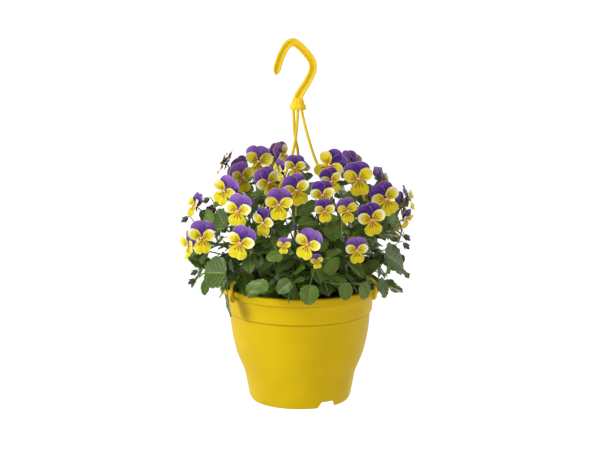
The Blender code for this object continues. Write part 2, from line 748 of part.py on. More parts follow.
def flower_mesh():
    """Points, faces and material numbers of one flower that faces -Y with its throat at 0."""
    points, faces, slots = [], [], []

    def add(point):
        points.append(point)
        return len(points) - 1

    def face(*corners, slot):
        faces.append(corners)
        slots.append(slot)

    count = len(PETALS)
    angles = [petal.angle for petal in PETALS]
    between = [
        (angle + after + (360 if after < angle else 0)) / 2
        for angle, after in zip(angles, angles[1:] + angles[:1])
    ]
    front = [add(clock(angle, HUB_RADIUS, HUB_FRONT)) for angle in between]
    back = [add(clock(angle, HUB_RADIUS, -HUB_BACK)) for angle in between]
    throat, heel = add(clock(0, 0, HUB_FRONT - 0.4)), add(clock(0, 0, -HUB_BACK))
    for number in range(count):
        petal = PETALS[number]
        start, end = number - 1, number
        face(throat, front[end], front[start], slot=1)
        face(heel, back[start], back[end], slot=1)
        ahead, side = clock(petal.angle, 1), clock(petal.angle + 90, 1)

        def spot(t, s, lift=0.0, petal=petal, ahead=ahead, side=side):
            forward = petal.layer * min(1.0, t / 0.3) + petal.lean * t * t + lift
            across = side * petal.width / 2 * s
            return ahead * (HUB_RADIUS + petal.length * t) + across - Vector((0, forward, 0))

        left = [add(spot(t, -s)) for t, s in petal.rows]
        right = [add(spot(t, s)) for t, s in petal.rows]
        tip = add(spot(1.0 if petal.angle != 180 else 0.93, 0))
        ring = [front[start], *left, tip, *reversed(right), front[end]]
        ring_back = [back[start], *left, tip, *reversed(right), back[end]]
        over, under = add(spot(0.5, 0, BLADE_HALF)), add(spot(0.5, 0, -BLADE_HALF))
        for this, after in zip(range(len(ring)), [*range(1, len(ring)), 0]):
            face(over, ring[after], ring[this], slot=petal.slot)
            face(under, ring_back[this], ring_back[after], slot=petal.slot)
        face(back[start], front[start], left[0], slot=petal.slot)
        face(front[end], back[end], right[0], slot=petal.slot)
    return points, faces, slots


# Leaves and stems

LEAF_EDGE = ((0.13, 0.74), (0.22, 0.64), (0.45, 1.0), (0.55, 0.82), (0.80, 0.66))
PETIOLE_HALF = 0.75


def leaf_body(name, leaf, finish):
    """A leaf with a scalloped edge, and the petiole that carries it, as one closed body."""
    side = leaf.along.cross(leaf.face).normalized()
    length, half, bend = leaf.length, leaf.width / 2, leaf.bend

    def spot(t, s, lift=0.0):
        sag = bend * t * t - 0.10 * half * abs(s)
        return leaf.base + leaf.along * length * t + side * half * s + leaf.face * (lift - sag)

    stalk = (leaf.base - leaf.root).normalized()
    stalk_side = (side - stalk * side.dot(stalk)).normalized()
    stalk_face = stalk_side.cross(stalk)
    thin = PETIOLE_HALF
    points = [
        leaf.root - stalk_side * thin, leaf.root + stalk_face * thin,
        leaf.root + stalk_side * thin, leaf.root - stalk_face * thin,
        spot(0, -thin / half), spot(0, 0, thin), spot(0, thin / half), spot(0, 0, -thin),
    ]
    faces = [(3, 2, 1, 0)]
    for corner in range(4):
        after = (corner + 1) % 4
        faces.append((corner, after, after + 4, corner + 4))
    left, right = [4], [6]
    for t, s in LEAF_EDGE:
        points += [spot(t, -s), spot(t, s)]
        left.append(len(points) - 2)
        right.append(len(points) - 1)
    points += [spot(0.5, 0, 0.6), spot(0.5, 0, -0.6), spot(1.0, 0)]
    over, under, tip = len(points) - 3, len(points) - 2, len(points) - 1
    left.append(tip)
    right.append(tip)
    half_way = 3
    for start, middle, flip in ((5, over, False), (7, under, True)):
        for chain, mirror in ((left, False), (right, True)):
            turn = flip != mirror
            for a, b in zip(chain, chain[1:]):
                hub = start if chain.index(a) < half_way - 1 else middle
                faces.append((a, b, hub) if turn else (b, a, hub))
            joint = chain[half_way - 1]
            faces.append((joint, middle, start) if turn else (middle, joint, start))
    return mesh_object(name, points, faces, [finish])


def stem_body(name, stem, finish):
    """A three-sided stem along its curve."""
    route = [curve_point(stem.curve, t) for t in STEM_STEPS]
    sections = [round_section(1.75 - 0.6 * t, 3) for t in STEM_STEPS]
    points, faces = swept(route, sections)
    return mesh_object(name, points, faces, [finish])


def calyx_body(name, bloom, finish):
    """The star of sepals behind a flower, which takes the end of its stalk."""
    outline = []
    for number in range(5):
        outline.append(clock(36 + 72 * number, 2.9, -3.0))
        outline.append(clock(72 + 72 * number, 9.0, -7.4))
    centre_front = clock(0, 0, -HUB_BACK - SEAT_GAP / bloom.size)
    points = [*outline, centre_front, clock(0, 0, -6.2)]
    faces = []
    for number in range(10):
        after = (number + 1) % 10
        faces += [(10, after, number), (11, number, after)]
    placed = [bloom.place + bloom.turn @ point * bloom.size for point in points]
    return mesh_object(name, placed, faces, [finish])


def make_leafy_stems(plant, blooms, stems, leaves, finish):
    """One plant: its crown in the soil, with its stems, leaves and the sepals of its flowers."""
    centre = polar(PLANT_RING, plant_angles()[plant])
    low = SOIL_CROWN - HOLE_DEPTH + SEAT_GAP
    name = "leafy_stems_%d" % (plant + 1)
    crown = prism(name, circle_outline(centre, CROWN_RADIUS, 8), low, CROWN_TOP, [finish])
    parts = []
    for stem in stems:
        if stem.plant == plant:
            parts.append(stem_body("stem", stem, finish))
            if stem.bloom is not None:
                parts.append(calyx_body("calyx", blooms[stem.bloom], finish))
    parts += [leaf_body("leaf", leaf, finish) for leaf, owner in leaves if owner == plant]
    boolean(crown, "UNION", parts, "MANIFOLD")
    return crown


def main():
    """Models the basket and hangs it from the origin by its hook."""
    start_empty()
    plastic = material("pot_yellow", YELLOW_PLASTIC, 0.42)
    hanger = material("hanger_yellow", YELLOW_HANGER, 0.36)
    peat = material("soil_brown", PEAT, 0.95)
    green = material("leaf_green", LEAF_GREEN, 0.55)
    petals = [material("petal_purple", PURPLE, 0.6), material("petal_yellow", PETAL_YELLOW, 0.6)]

    made = [make_pot(plastic), make_soil(peat), make_hook(hanger)]
    made += [make_strand(name, hanger) for name in CLIP_ANGLES]
    blooms, stems, leaves = plan()
    points, faces, slots = flower_mesh()
    flower = None
    for number, bloom in enumerate(blooms):
        name = "bloom_%02d" % (number + 1)
        if flower is None:
            flower = mesh_object(name, points, faces, petals, slots=slots)
            placed = flower
        else:
            placed = bpy.data.objects.new(name, flower.data)
            bpy.context.scene.collection.objects.link(placed)
        turn = bloom.turn.to_quaternion()
        placed.matrix_world = Matrix.LocRotScale(bloom.place * MM, turn, [bloom.size] * 3)
        made.append(placed)
    made += [make_leafy_stems(plant, blooms, stems, leaves, green) for plant in range(PLANT_COUNT)]

    hanging = bpy.data.objects.new("hanging_point", None)
    bpy.context.scene.collection.objects.link(hanging)
    hanging.location = -HOOK_CREST * MM
    for piece in made:
        piece.parent = hanging


main()
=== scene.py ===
"""Finish of the hanging basket of violas: moulded pot, clip-on hanger, compost, plants and flowers.

Pieces are modelled in millimetres from the middle of the pot's base, as one whole basket, and are
moved into the frame, whose origin is the inner crest of the hook, when they are finished.
"""
import math
import random
from collections import namedtuple

import bpy
import numpy as np
from mathutils import Matrix, Vector


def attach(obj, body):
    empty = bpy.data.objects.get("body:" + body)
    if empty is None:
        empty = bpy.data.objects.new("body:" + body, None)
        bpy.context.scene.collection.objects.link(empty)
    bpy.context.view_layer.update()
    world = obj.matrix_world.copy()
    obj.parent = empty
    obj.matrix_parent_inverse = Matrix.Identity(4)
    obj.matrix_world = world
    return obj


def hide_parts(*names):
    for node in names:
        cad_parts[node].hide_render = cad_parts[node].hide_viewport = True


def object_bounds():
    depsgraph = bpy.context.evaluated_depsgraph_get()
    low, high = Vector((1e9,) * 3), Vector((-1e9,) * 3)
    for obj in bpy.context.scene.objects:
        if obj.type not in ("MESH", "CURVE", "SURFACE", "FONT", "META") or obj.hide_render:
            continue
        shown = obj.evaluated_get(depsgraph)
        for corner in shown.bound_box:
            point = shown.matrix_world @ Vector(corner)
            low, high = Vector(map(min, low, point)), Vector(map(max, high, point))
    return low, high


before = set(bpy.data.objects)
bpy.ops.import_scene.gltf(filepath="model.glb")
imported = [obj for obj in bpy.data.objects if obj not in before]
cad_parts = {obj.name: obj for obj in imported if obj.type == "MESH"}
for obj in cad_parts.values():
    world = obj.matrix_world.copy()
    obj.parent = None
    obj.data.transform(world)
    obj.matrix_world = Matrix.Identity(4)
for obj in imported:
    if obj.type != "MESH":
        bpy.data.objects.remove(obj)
CAD_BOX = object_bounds()

MM = 0.001
UP = Vector((0.0, 0.0, 1.0))

# Pot
RIM_TOP = 171.0
LIP_RADIUS = 115.0
LIP_DEPTH = 11.0
LEDGE_INNER = 107.7
FOOT_INNER = 64.0
POT_SIDES = 128
NOTCH_ANGLES = (-56.0, 124.0)
NOTCH_WIDTH = 31.0
NOTCH_TOP_WIDTH = 24.0
NOTCH_HEIGHT = 10.0
NOTCH_REACH = 70.0
NOTCH_DEPTH = 24.0
FLOOR_UNDERSIDE = 11.0
FLOOR_TOP = 13.5
DRAIN_COUNT = 6
DRAIN_RADIUS = 4.0
DRAIN_RING = 44.0

# Soil
SOIL_EDGE = 150.0
SOIL_CROWN = 158.0
CHIP_COUNT = 150
CHIP_RING = 96.0

# Hanger
COLLAR_BOTTOM = RIM_TOP + 249.5
COLLAR_X = -3.0
SOCKET_PITCH = 6.0
SOCKET_RADIUS = 2.6
SOCKET_DEPTH = 6.0
STRAND_RADIUS = 2.2
CLIP_ANGLES = {"left": 215.0, "right": 335.0, "back": 95.0}
HOOK_WIDTH = 10.8
HOOK_THICKNESS = 9.0
HOOK_WEB = 4.4
HOOK_FLANGE = 2.4
HOOK_TIP_RINGS = 4.5
HOOK_FLARE = 36.0
HOOK_WIDENING = 0.30
HOOK_CREST = Vector((-9.3, 0.0, RIM_TOP + 339.4))

# Planting
PLANT_COUNT = 9
PLANT_RING = 56.0
FIRST_PLANT_ANGLE = 35.0
CROWN_RADIUS = 4.0
CROWN_TOP = 171.0
CROWN_FOOT = 140.0
SEED = 23

INTO_FRAME = Matrix.Scale(MM, 4) @ Matrix.Translation(-HOOK_CREST)

# Colours, as linear base colours, and the heights of the painted shade on the pot: a dark line under its lip
# and one under its band
POT_BRIGHT = (0.68, 0.475, 0.0)
POT_DEEP = (0.62, 0.41, 0.0)
POT_SHADED_CREASES = (159.4, 130.2)
HANGER_BRIGHT = (0.84, 0.60, 0.025)
HANGER_DEEP = (0.76, 0.50, 0.012)
LEAF_DARK = (0.020, 0.050, 0.004)
LEAF_LIGHT = (0.110, 0.195, 0.010)
LEAF_VEIN = (0.240, 0.330, 0.060)
BACK_DARK = (0.060, 0.100, 0.018)
BACK_LIGHT = (0.130, 0.195, 0.040)
BACK_VEIN = (0.230, 0.290, 0.090)
VIOLET_DEEP = (0.055, 0.012, 0.190)
VIOLET_LIGHT = (0.290, 0.120, 0.530)
VIOLET_BACK_DEEP = (0.110, 0.035, 0.260)
VIOLET_BACK_LIGHT = (0.330, 0.180, 0.520)


# Shader nodes, written as expressions

class Value:
    """A number that a material works out; arithmetic on it adds Math nodes."""

    def __init__(self, finish, socket):
        self.finish = finish
        self.socket = socket

    def __add__(self, other):
        return self.finish.math("ADD", self, other)

    __radd__ = __add__

    def __sub__(self, other):
        return self.finish.math("SUBTRACT", self, other)

    def __rsub__(self, other):
        return self.finish.math("SUBTRACT", other, self)

    def __mul__(self, other):
        return self.finish.math("MULTIPLY", self, other)

    __rmul__ = __mul__

    def __pow__(self, other):
        return self.finish.math("POWER", self, other)

    def __abs__(self):
        return self.finish.math("ABSOLUTE", self)

    def rise(self, start, end):
        """0 below start and 1 above end, with a smooth step between."""
        limits = {"Value": self, "From Min": start, "From Max": end}
        return self.finish.add("ShaderNodeMapRange", {"interpolation_type": "SMOOTHSTEP"}, limits)

    def fall(self, start, end):
        """1 below start and 0 above end."""
        return 1 - self.rise(start, end)


class Finish:
    """A Principled material whose pattern is built from nodes."""

    def __init__(self, name, plain):
        self.material = bpy.data.materials.new(name)
        self.material.use_nodes = True
        self.tree = self.material.node_tree
        self.shader = self.tree.nodes["Principled BSDF"]
        self.set(plain)

    def set(self, inputs, node=None):
        """Gives sockets of the shader, or of another node, their values or links."""
        node = node or self.shader
        for key, value in inputs.items():
            if isinstance(value, Value):
                self.tree.links.new(value.socket, node.inputs[key])
            elif isinstance(value, tuple) and len(value) == 3 and node.inputs[key].type == "RGBA":
                node.inputs[key].default_value = (*value, 1.0)
            else:
                node.inputs[key].default_value = value

    def add(self, kind, settings, inputs, output=0):
        """A node with its settings and its sockets; gives one of its outputs."""
        node = self.tree.nodes.new(kind)
        for key, value in settings.items():
            setattr(node, key, value)
        self.set(inputs, node)
        return Value(self, node.outputs[output])

    def math(self, operation, *numbers):
        """A Math node on these numbers, in this order."""
        return self.add("ShaderNodeMath", {"operation": operation}, dict(enumerate(numbers)))

    def mix(self, factor, first, second):
        """From the first colour to the second by a factor."""
        settings = {"data_type": "RGBA", "clamp_factor": True}
        return self.add("ShaderNodeMix", settings, {0: factor, 6: first, 7: second}, 2)

    def place(self):
        """Object coordinates."""
        return self.add("ShaderNodeTexCoord", {}, {}, "Object")

    def across_along(self):
        """The two numbers of the piece's own UV map."""
        spread = self.add("ShaderNodeUVMap", {"uv_map": "UVMap"}, {})
        return [self.add("ShaderNodeSeparateXYZ", {}, {0: spread}, axis) for axis in ("X", "Y")]

    def painted(self, name):
        """An attribute of the mesh, as a number."""
        return self.add("ShaderNodeAttribute", {"attribute_name": name}, {}, "Fac")

    def noise(self, scale, detail=3.0, vector=None):
        """A noise pattern by Object coordinates, from 0 to 1."""
        inputs = {"Vector": vector or self.place(), "Scale": scale, "Detail": detail}
        return self.add("ShaderNodeTexNoise", {}, inputs)

    def bump(self, height, depth):
        """Raises the surface by a height from 0 to 1 times a depth in metres."""
        normal = self.add("ShaderNodeBump", {}, {"Height": height, "Distance": depth, "Strength": 1.0})
        self.set({"Normal": normal})


def plastic_finish(name, bright, deep, roughness, shaded_creases=()):
    """Moulded plastic: faintly cloudy, with a satin grain, a few scuffs, and painted shade as a dark line at
    each height it is given.
    """
    finish = Finish(name, {"IOR": 1.49, "Specular IOR Level": 0.12})
    clouds = finish.noise(14.0, 4.0)
    grain = finish.noise(1400.0, 2.0)
    stretch = {"Vector": finish.place(), "Scale": (420.0, 420.0, 26.0)}
    stretched = finish.add("ShaderNodeMapping", {}, stretch)
    drawn = finish.noise(1.0, 2.0, stretched)
    colour = finish.mix(clouds.rise(0.3, 0.72), bright, deep)
    height = finish.add("ShaderNodeSeparateXYZ", {}, {0: finish.place()}, "Z")
    # Painted shade: a thin dark brown line at each height, where the lip and the band's step cast their
    # shadow on the pot
    for level in shaded_creases:
        line = abs(height - (level - HOOK_CREST.z) * MM).fall(0.0005, 0.0018)
        colour = finish.mix(line * 0.60, colour, (0.28, 0.16, 0.0))
    scuffs = drawn.rise(0.66, 0.80) * clouds.rise(0.45, 0.6)
    finish.set({
        "Base Color": finish.mix(scuffs * 0.12, colour, (0.90, 0.80, 0.35)),
        "Roughness": roughness + 0.10 * clouds + 0.12 * scuffs,
    })
    finish.bump(grain * 0.6 + drawn * 0.4, 0.000015)
    return finish.material


def soil_finish():
    """Damp peat with paler fibres and crumbs."""
    finish = Finish("peat", {"Specular IOR Level": 0.25})
    crumbs = finish.noise(420.0, 6.0)
    patches = finish.noise(60.0, 3.0)
    fibres = finish.noise(1100.0, 4.0)
    dark = finish.mix(patches.rise(0.35, 0.65), (0.012, 0.007, 0.004), (0.040, 0.024, 0.013))
    finish.set({
        "Base Color": finish.mix(crumbs.rise(0.55, 0.72), dark, (0.090, 0.056, 0.030)),
        "Roughness": 0.85 + 0.1 * fibres,
    })
    finish.bump(crumbs * 0.7 + fibres * 0.3, 0.0012)
    return finish.material


def chip_finish():
    """Bark chips in the compost."""
    finish = Finish("bark_chip", {"Specular IOR Level": 0.3})
    streaks = finish.noise(300.0, 5.0)
    finish.set({
        "Base Color": finish.mix(streaks.rise(0.35, 0.7), (0.045, 0.024, 0.012), (0.16, 0.095, 0.050)),
        "Roughness": 0.75 + 0.2 * streaks,
    })
    finish.bump(streaks, 0.0006)
    return finish.material


def leaf_finish(name, dark, light, vein, gloss):
    """A leaf with a pale midrib and side veins, darker towards its middle, spotted a little."""
    finish = Finish(name, {"Specular IOR Level": 0.45})
    across, along = finish.across_along()
    off = abs(across - 0.5) * 2
    tone = finish.painted("tone")
    mottle = finish.noise(90.0, 4.0)
    fine = finish.noise(900.0, 3.0)
    step = (along - off * 0.30) * 6.5
    near_vein = abs(finish.math("FRACT", step) - 0.5) * 2
    side_vein = near_vein.rise(0.80, 0.98) * off.rise(0.02, 0.12) * off.fall(0.6, 0.95)
    midrib = off.fall(0.02, 0.075)
    veins = finish.math("MAXIMUM", midrib, side_vein * 0.65)
    body = finish.mix(tone * 0.75 + mottle * 0.7 - 0.25, dark, light)
    body = finish.mix(off.rise(0.75, 1.0) * 0.25, body, light)
    finish.set({
        "Base Color": finish.mix(veins * 0.70, body, vein),
        "Roughness": gloss + 0.18 * mottle,
    })
    finish.bump(fine * 0.25 + (1 - veins) * 0.75, 0.0004)
    return finish.material


def stem_finish():
    """Ribbed green stems, flushed brown in places."""
    finish = Finish("stem_green", {})
    flush = finish.noise(30.0, 3.0)
    fine = finish.noise(700.0, 3.0)
    green = finish.mix(fine, (0.075, 0.135, 0.030), (0.150, 0.230, 0.060))
    finish.set({
        "Base Color": finish.mix(flush.rise(0.58, 0.75) * 0.5, green, (0.090, 0.050, 0.030)),
        "Roughness": 0.45 + 0.2 * fine,
    })
    finish.bump(fine, 0.0002)
    return finish.material


def bud_finish():
    """A furled bud: dark violet with a green base."""
    finish = Finish("bud_violet", {"Roughness": 0.5})
    _, along = finish.across_along()
    fine = finish.noise(500.0, 3.0)
    violet = finish.mix(fine, (0.030, 0.012, 0.060), (0.085, 0.035, 0.160))
    finish.set({"Base Color": finish.mix(along.fall(0.25, 0.5), violet, (0.08, 0.12, 0.03))})
    finish.bump(fine, 0.0003)
    return finish.material


def from_edge(across, along):
    """0 in the middle of a petal and 1 on its edge."""
    x, y = across * 2 - 1, along * 2 - 1
    return (x * x + y * y) ** 0.5


def petal_veins(finish, across, along, count, wander):
    """Fine lines that spread from a petal's foot, from 0 to 1."""
    lean = finish.math("ARCTAN2", across - 0.5, along + 0.28)
    return finish.math("SINE", lean * count + wander * 2.0).rise(0.55, 1.0)


def violet_finish(name, deep, light):
    """Violet petals: velvety, with faint veins, a lighter outer half and a pale rim."""
    finish = Finish(name, {"Sheen Weight": 0.25, "Sheen Roughness": 0.4, "Specular IOR Level": 0.25})
    across, along = finish.across_along()
    edge = from_edge(across, along)
    tone = finish.painted("tone")
    clouds = finish.noise(110.0, 3.0)
    veins = petal_veins(finish, across, along, 44.0, clouds)
    lift = along.rise(0.30, 1.0) * 0.65 + tone * 0.75 + clouds * 0.50 - 0.62
    body = finish.mix(lift, deep, light)
    body = finish.mix(veins * 0.50 * along.fall(0.60, 1.05), body, deep)
    finish.set({
        "Base Color": finish.mix(edge.rise(0.945, 0.985) * 0.75, body, (0.62, 0.45, 0.66)),
        "Roughness": 0.55 + 0.2 * clouds,
    })
    finish.bump(veins * 0.5 + clouds * 0.5, 0.0003)
    return finish.material


def yellow_finish(name, lift):
    """Yellow petals: an orange throat with dark whiskers, a cream margin and a pale rim."""
    finish = Finish(name, {"Sheen Weight": 0.10, "Specular IOR Level": 0.25})
    across, along = finish.across_along()
    edge = from_edge(across, along)
    cream = finish.painted("cream")
    tone = finish.painted("tone")
    clouds = finish.noise(140.0, 3.0)
    veins = petal_veins(finish, across, along, 30.0, clouds)
    yellow = finish.mix(clouds * 0.6 + tone * 0.4, (0.66, 0.52, 0.001), (0.76, 0.67, 0.004))
    yellow = finish.mix(veins * 0.35, yellow, (0.58, 0.40, 0.0))
    pale = edge.rise(0.35, 0.95) * cream * along.rise(0.40, 0.85)
    body = finish.mix(pale + lift, yellow, (0.88, 0.84, 0.62))
    throat = along.fall(0.14, 0.56) * abs(across - 0.5).fall(0.06, 0.34)
    body = finish.mix(throat * 0.9, body, (0.78, 0.29, 0.006))
    lean = finish.math("ARCTAN2", across - 0.5, along + 0.02)
    reach = along.rise(0.13, 0.20) * along.fall(0.38, 0.56)
    whisker = finish.math("COSINE", lean * 15.0).rise(0.10, 0.65) * reach * abs(lean).fall(0.50, 0.70)
    body = finish.mix(whisker * 0.95, body, (0.055, 0.010, 0.008))
    lower = 1 - cream.rise(0.02, 0.05)
    tip = along.rise(0.90, 0.98) * abs(across - 0.5).fall(0.010, 0.035) * lower
    body = finish.mix(tip * 0.5, body, (0.30, 0.18, 0.02))
    finish.set({
        "Base Color": finish.mix(edge.rise(0.955, 0.99) * 0.55, body, (0.93, 0.84, 0.62)),
        "Roughness": 0.5 + 0.2 * clouds,
    })
    finish.bump(veins * 0.5 + clouds * 0.5, 0.0003)
    return finish.material


def plain_finish(name, first, second, scale, roughness):
    """A small soft part in two close colours."""
    finish = Finish(name, {"Roughness": roughness})
    finish.set({"Base Color": finish.mix(finish.noise(scale), first, second)})
    return finish.material


# Modelling helpers

def pick(*pieces):
    """Selects these pieces alone, with the first one active."""
    bpy.ops.object.select_all(action="DESELECT")
    for piece in pieces:
        piece.select_set(True)
    bpy.context.view_layer.objects.active = pieces[0]


def named(name):
    """The piece that an operator has just added, under its name, with its place in its mesh."""
    piece = bpy.context.object
    piece.name = name
    bpy.ops.object.transform_apply(location=True, rotation=True, scale=True)
    return piece


def started(name, add, **settings):
    """A primitive under its name, added by an operator while nothing else is selected."""
    bpy.ops.object.select_all(action="DESELECT")
    add(**settings)
    return named(name)


def apply_modifier(piece, kind, **settings):
    """Adds a modifier to a piece and applies it."""
    pick(piece)
    added = piece.modifiers.new(kind, kind)
    for name, value in settings.items():
        setattr(added, name, value)
    bpy.ops.object.modifier_apply(modifier=added.name)


def copy_of(piece):
    """A copy with its own mesh."""
    made = piece.copy()
    made.data = piece.data.copy()
    bpy.context.scene.collection.objects.link(made)
    return made


def thicken(sheet, thickness):
    """Gives a sheet its thickness, with its second material on its back."""
    apply_modifier(
        sheet, "SOLIDIFY", thickness=thickness, offset=0.0, material_offset=1, material_offset_rim=0
    )


def joined(name, pieces):
    """Several pieces as one object; those that are joined are gone."""
    pick(*pieces)
    if len(pieces) > 1:
        bpy.ops.object.join()
    return named(name)


def smooth(piece, degrees):
    """Shades a piece smooth up to an angle."""
    pick(piece)
    bpy.ops.object.shade_smooth_by_angle(angle=math.radians(degrees))


def outward(piece):
    """Merges doubles and turns every face outwards."""
    pick(piece)
    bpy.ops.object.mode_set(mode="EDIT")
    bpy.ops.mesh.select_all(action="SELECT")
    bpy.ops.mesh.remove_doubles(threshold=0.01)
    bpy.ops.mesh.normals_make_consistent(inside=False)
    bpy.ops.object.mode_set(mode="OBJECT")


def drawn_up(piece, centre, start, levels):
    """Extrudes a flat outline upwards; start and each level are a width, a depth and a height."""
    pick(piece)
    bpy.ops.object.mode_set(mode="EDIT")
    bpy.ops.mesh.select_all(action="SELECT")
    wide, deep, level = start
    for next_wide, next_deep, next_level in levels:
        bpy.ops.mesh.extrude_region_move(TRANSFORM_OT_translate={"value": (0, 0, next_level - level)})
        scale = (next_wide / wide, next_deep / deep, 1)
        bpy.ops.transform.resize(value=scale, center_override=(*centre, next_level))
        wide, deep, level = next_wide, next_deep, next_level
    bpy.ops.object.mode_set(mode="OBJECT")
    outward(piece)


def coordinates(piece):
    """The x, y and z of a piece's corners."""
    flat = np.zeros(len(piece.data.vertices) * 3)
    piece.data.vertices.foreach_get("co", flat)
    return flat.reshape(-1, 3).T


def move_corners(piece, x, y, z):
    """Puts a piece's corners at new places."""
    piece.data.vertices.foreach_set("co", np.column_stack([x, y, z]).ravel())
    piece.data.update()


def paint(piece, name, value):
    """Gives every corner of a piece one number under a name."""
    layer = piece.data.attributes.get(name) or piece.data.attributes.new(name, "FLOAT", "POINT")
    layer.data.foreach_set("value", np.full(len(piece.data.vertices), value))


def round_sheet(name, cells):
    """A grid drawn into a disc of radius 1, with the disc as its UV map."""
    sheet = started(
        name, bpy.ops.mesh.primitive_grid_add, x_subdivisions=cells, y_subdivisions=cells, size=2.0
    )
    x, y, z = coordinates(sheet)
    move_corners(sheet, x * np.sqrt(1 - y * y / 2), y * np.sqrt(1 - x * x / 2), z)
    x, y, _ = coordinates(sheet)
    loops = np.zeros(len(sheet.data.loops), dtype=int)
    sheet.data.loops.foreach_get("vertex_index", loops)
    spread = np.column_stack([x[loops], y[loops]]) * 0.5 + 0.5
    sheet.data.uv_layers.active.data.foreach_set("uv", spread.ravel())
    return sheet


def finished(piece, name, nodes, materials=None):
    """Names a piece, moves it into the frame, and says what it rides on and stands for."""
    piece.name = name
    piece.data.name = name
    if materials:
        piece.data.materials.clear()
        for entry in materials:
            piece.data.materials.append(entry)
    piece.data.transform(INTO_FRAME)
    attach(piece, "root")
    if nodes:
        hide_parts(*nodes)
    return piece


def polar(radius, degrees, height=0.0):
    """The point at a radius and an angle from +X round the pot's axis."""
    angle = math.radians(degrees)
    return Vector((radius * math.cos(angle), radius * math.sin(angle), height))


def smooth_route(stations, step):
    """Points about a step apart on a Catmull-Rom curve through given stations."""
    ends = [2 * stations[0] - stations[1], *stations, 2 * stations[-1] - stations[-2]]
    route = []
    for before, start, end, after in zip(ends, ends[1:], ends[2:], ends[3:]):
        pieces = max(1, round((end - start).length / step))
        for piece in range(pieces):
            t = piece / pieces
            route.append(0.5 * (
                2 * start + (end - before) * t
                + (2 * before - 5 * start + 4 * end - after) * t ** 2
                + (3 * start - before - 3 * end + after) * t ** 3
            ))
    return route + [stations[-1].copy()]


def drawn_curve(name, routes, radii, sides):
    """Round bars along routes, as one mesh; each route has its radii."""
    bar = started(name, bpy.ops.curve.primitive_bezier_curve_add)
    curve = bar.data
    curve.splines.clear()
    for route, sizes in zip(routes, radii):
        spline = curve.splines.new("POLY")
        spline.points.add(len(route) - 1)
        for point, place, size in zip(spline.points, route, sizes):
            point.co = (*place, 1.0)
            point.radius = size
    curve.dimensions = "3D"
    curve.use_fill_caps = True
    curve.bevel_depth = 1.0
    curve.bevel_resolution = sides
    pick(bar)
    bpy.ops.object.convert(target="MESH")
    return bar


# Pot

def arc_corner(before, corner, after, radius, count=4):
    """Points that round a corner of an outline."""
    start = corner + (before - corner).normalized() * radius
    end = corner + (after - corner).normalized() * radius
    steps = [number / count for number in range(count + 1)]
    return [start * (1 - t) ** 2 + corner * (2 * t * (1 - t)) + end * t * t for t in steps]


def pot_profile():
    """The pot's section: under the floor, up the outside, over the lip and down the inside."""
    belly = [
        (73.1, 8), (75.5, 21), (79.2, 40), (83.6, 52), (89.5, 66), (94.5, 84), (97.9, 102),
        (100.4, 126.5),
    ]
    belly = smooth_route([Vector(point) for point in belly], 4.0)
    inside = [(102.3, 147), (96.8, 131), (95.4, 104), (90.0, 82), (77.0, 41), (71.0, FLOOR_TOP)]
    inside = smooth_route([Vector(point) for point in inside], 8.0)
    lip_foot = RIM_TOP - LIP_DEPTH
    corners = [
        ((FOOT_INNER + 1.0, FLOOR_UNDERSIDE), 1.0), ((FOOT_INNER, 0.0), 0.8),
        ((68.8, 0.0), 2.2), ((71.0, 3.0), 1.2),
        *[(point, 0.0) for point in belly],
        ((101.0, 130.2), 0.4), ((103.0, 131.6), 0.7), ((104.5, 147.0), 3.5), ((109.6, 159.0), 1.4),
        ((111.6, lip_foot), 0.8), ((LIP_RADIUS, lip_foot), 1.5), ((LIP_RADIUS, RIM_TOP), 2.2),
        ((LEDGE_INNER, RIM_TOP), 1.2), ((LEDGE_INNER, 160.0), 1.2), ((105.0, 157.0), 1.0),
        *[(point, 0.0) for point in inside],
    ]
    places = [Vector(point) for point, _ in corners]
    profile = []
    for number, (place, (_, radius)) in enumerate(zip(places, corners)):
        if radius and 0 < number:
            profile += arc_corner(places[number - 1], place, places[number + 1], radius)
        else:
            profile.append(place)
    return profile


def make_pot(materials):
    """The moulded pot: a disc of floor drawn out, up, over the lip and back down inside."""
    start = 6.0
    pot = started(
        "pot", bpy.ops.mesh.primitive_circle_add,
        vertices=POT_SIDES, radius=start, fill_type="NGON", location=(0, 0, FLOOR_UNDERSIDE),
    )
    levels = [(radius, radius, height) for radius, height in [*pot_profile(), (start, FLOOR_TOP)]]
    drawn_up(pot, (0, 0), (start, start, FLOOR_UNDERSIDE), levels)

    cutters = []
    for angle in NOTCH_ANGLES:
        cutter = started("notch", bpy.ops.mesh.primitive_cube_add, size=1.0, location=(0, 0, 0))
        x, y, z = coordinates(cutter)
        wide = np.where(z > 0, NOTCH_TOP_WIDTH, NOTCH_WIDTH + 2.4)
        move_corners(cutter, NOTCH_REACH + NOTCH_DEPTH * x, y * wide, np.where(z > 0, NOTCH_HEIGHT, -1.0))
        apply_modifier(cutter, "BEVEL", width=1.2, segments=3)
        cutter.data.transform(Matrix.Rotation(math.radians(angle), 4, "Z"))
        cutters.append(cutter)
    for hole in range(DRAIN_COUNT):
        cutters.append(started(
            "drain", bpy.ops.mesh.primitive_cylinder_add, vertices=24, radius=DRAIN_RADIUS, depth=8.0,
            location=polar(DRAIN_RING, 360.0 * hole / DRAIN_COUNT, FLOOR_TOP - 1.0),
        ))
    cutter = joined("cutters", cutters)
    apply_modifier(pot, "BOOLEAN", operation="DIFFERENCE", object=cutter, solver="EXACT")
    bpy.data.objects.remove(cutter, do_unlink=True)
    smooth(pot, 35.0)
    return finished(pot, "moulded_pot", ["pot"], materials)


# Soil

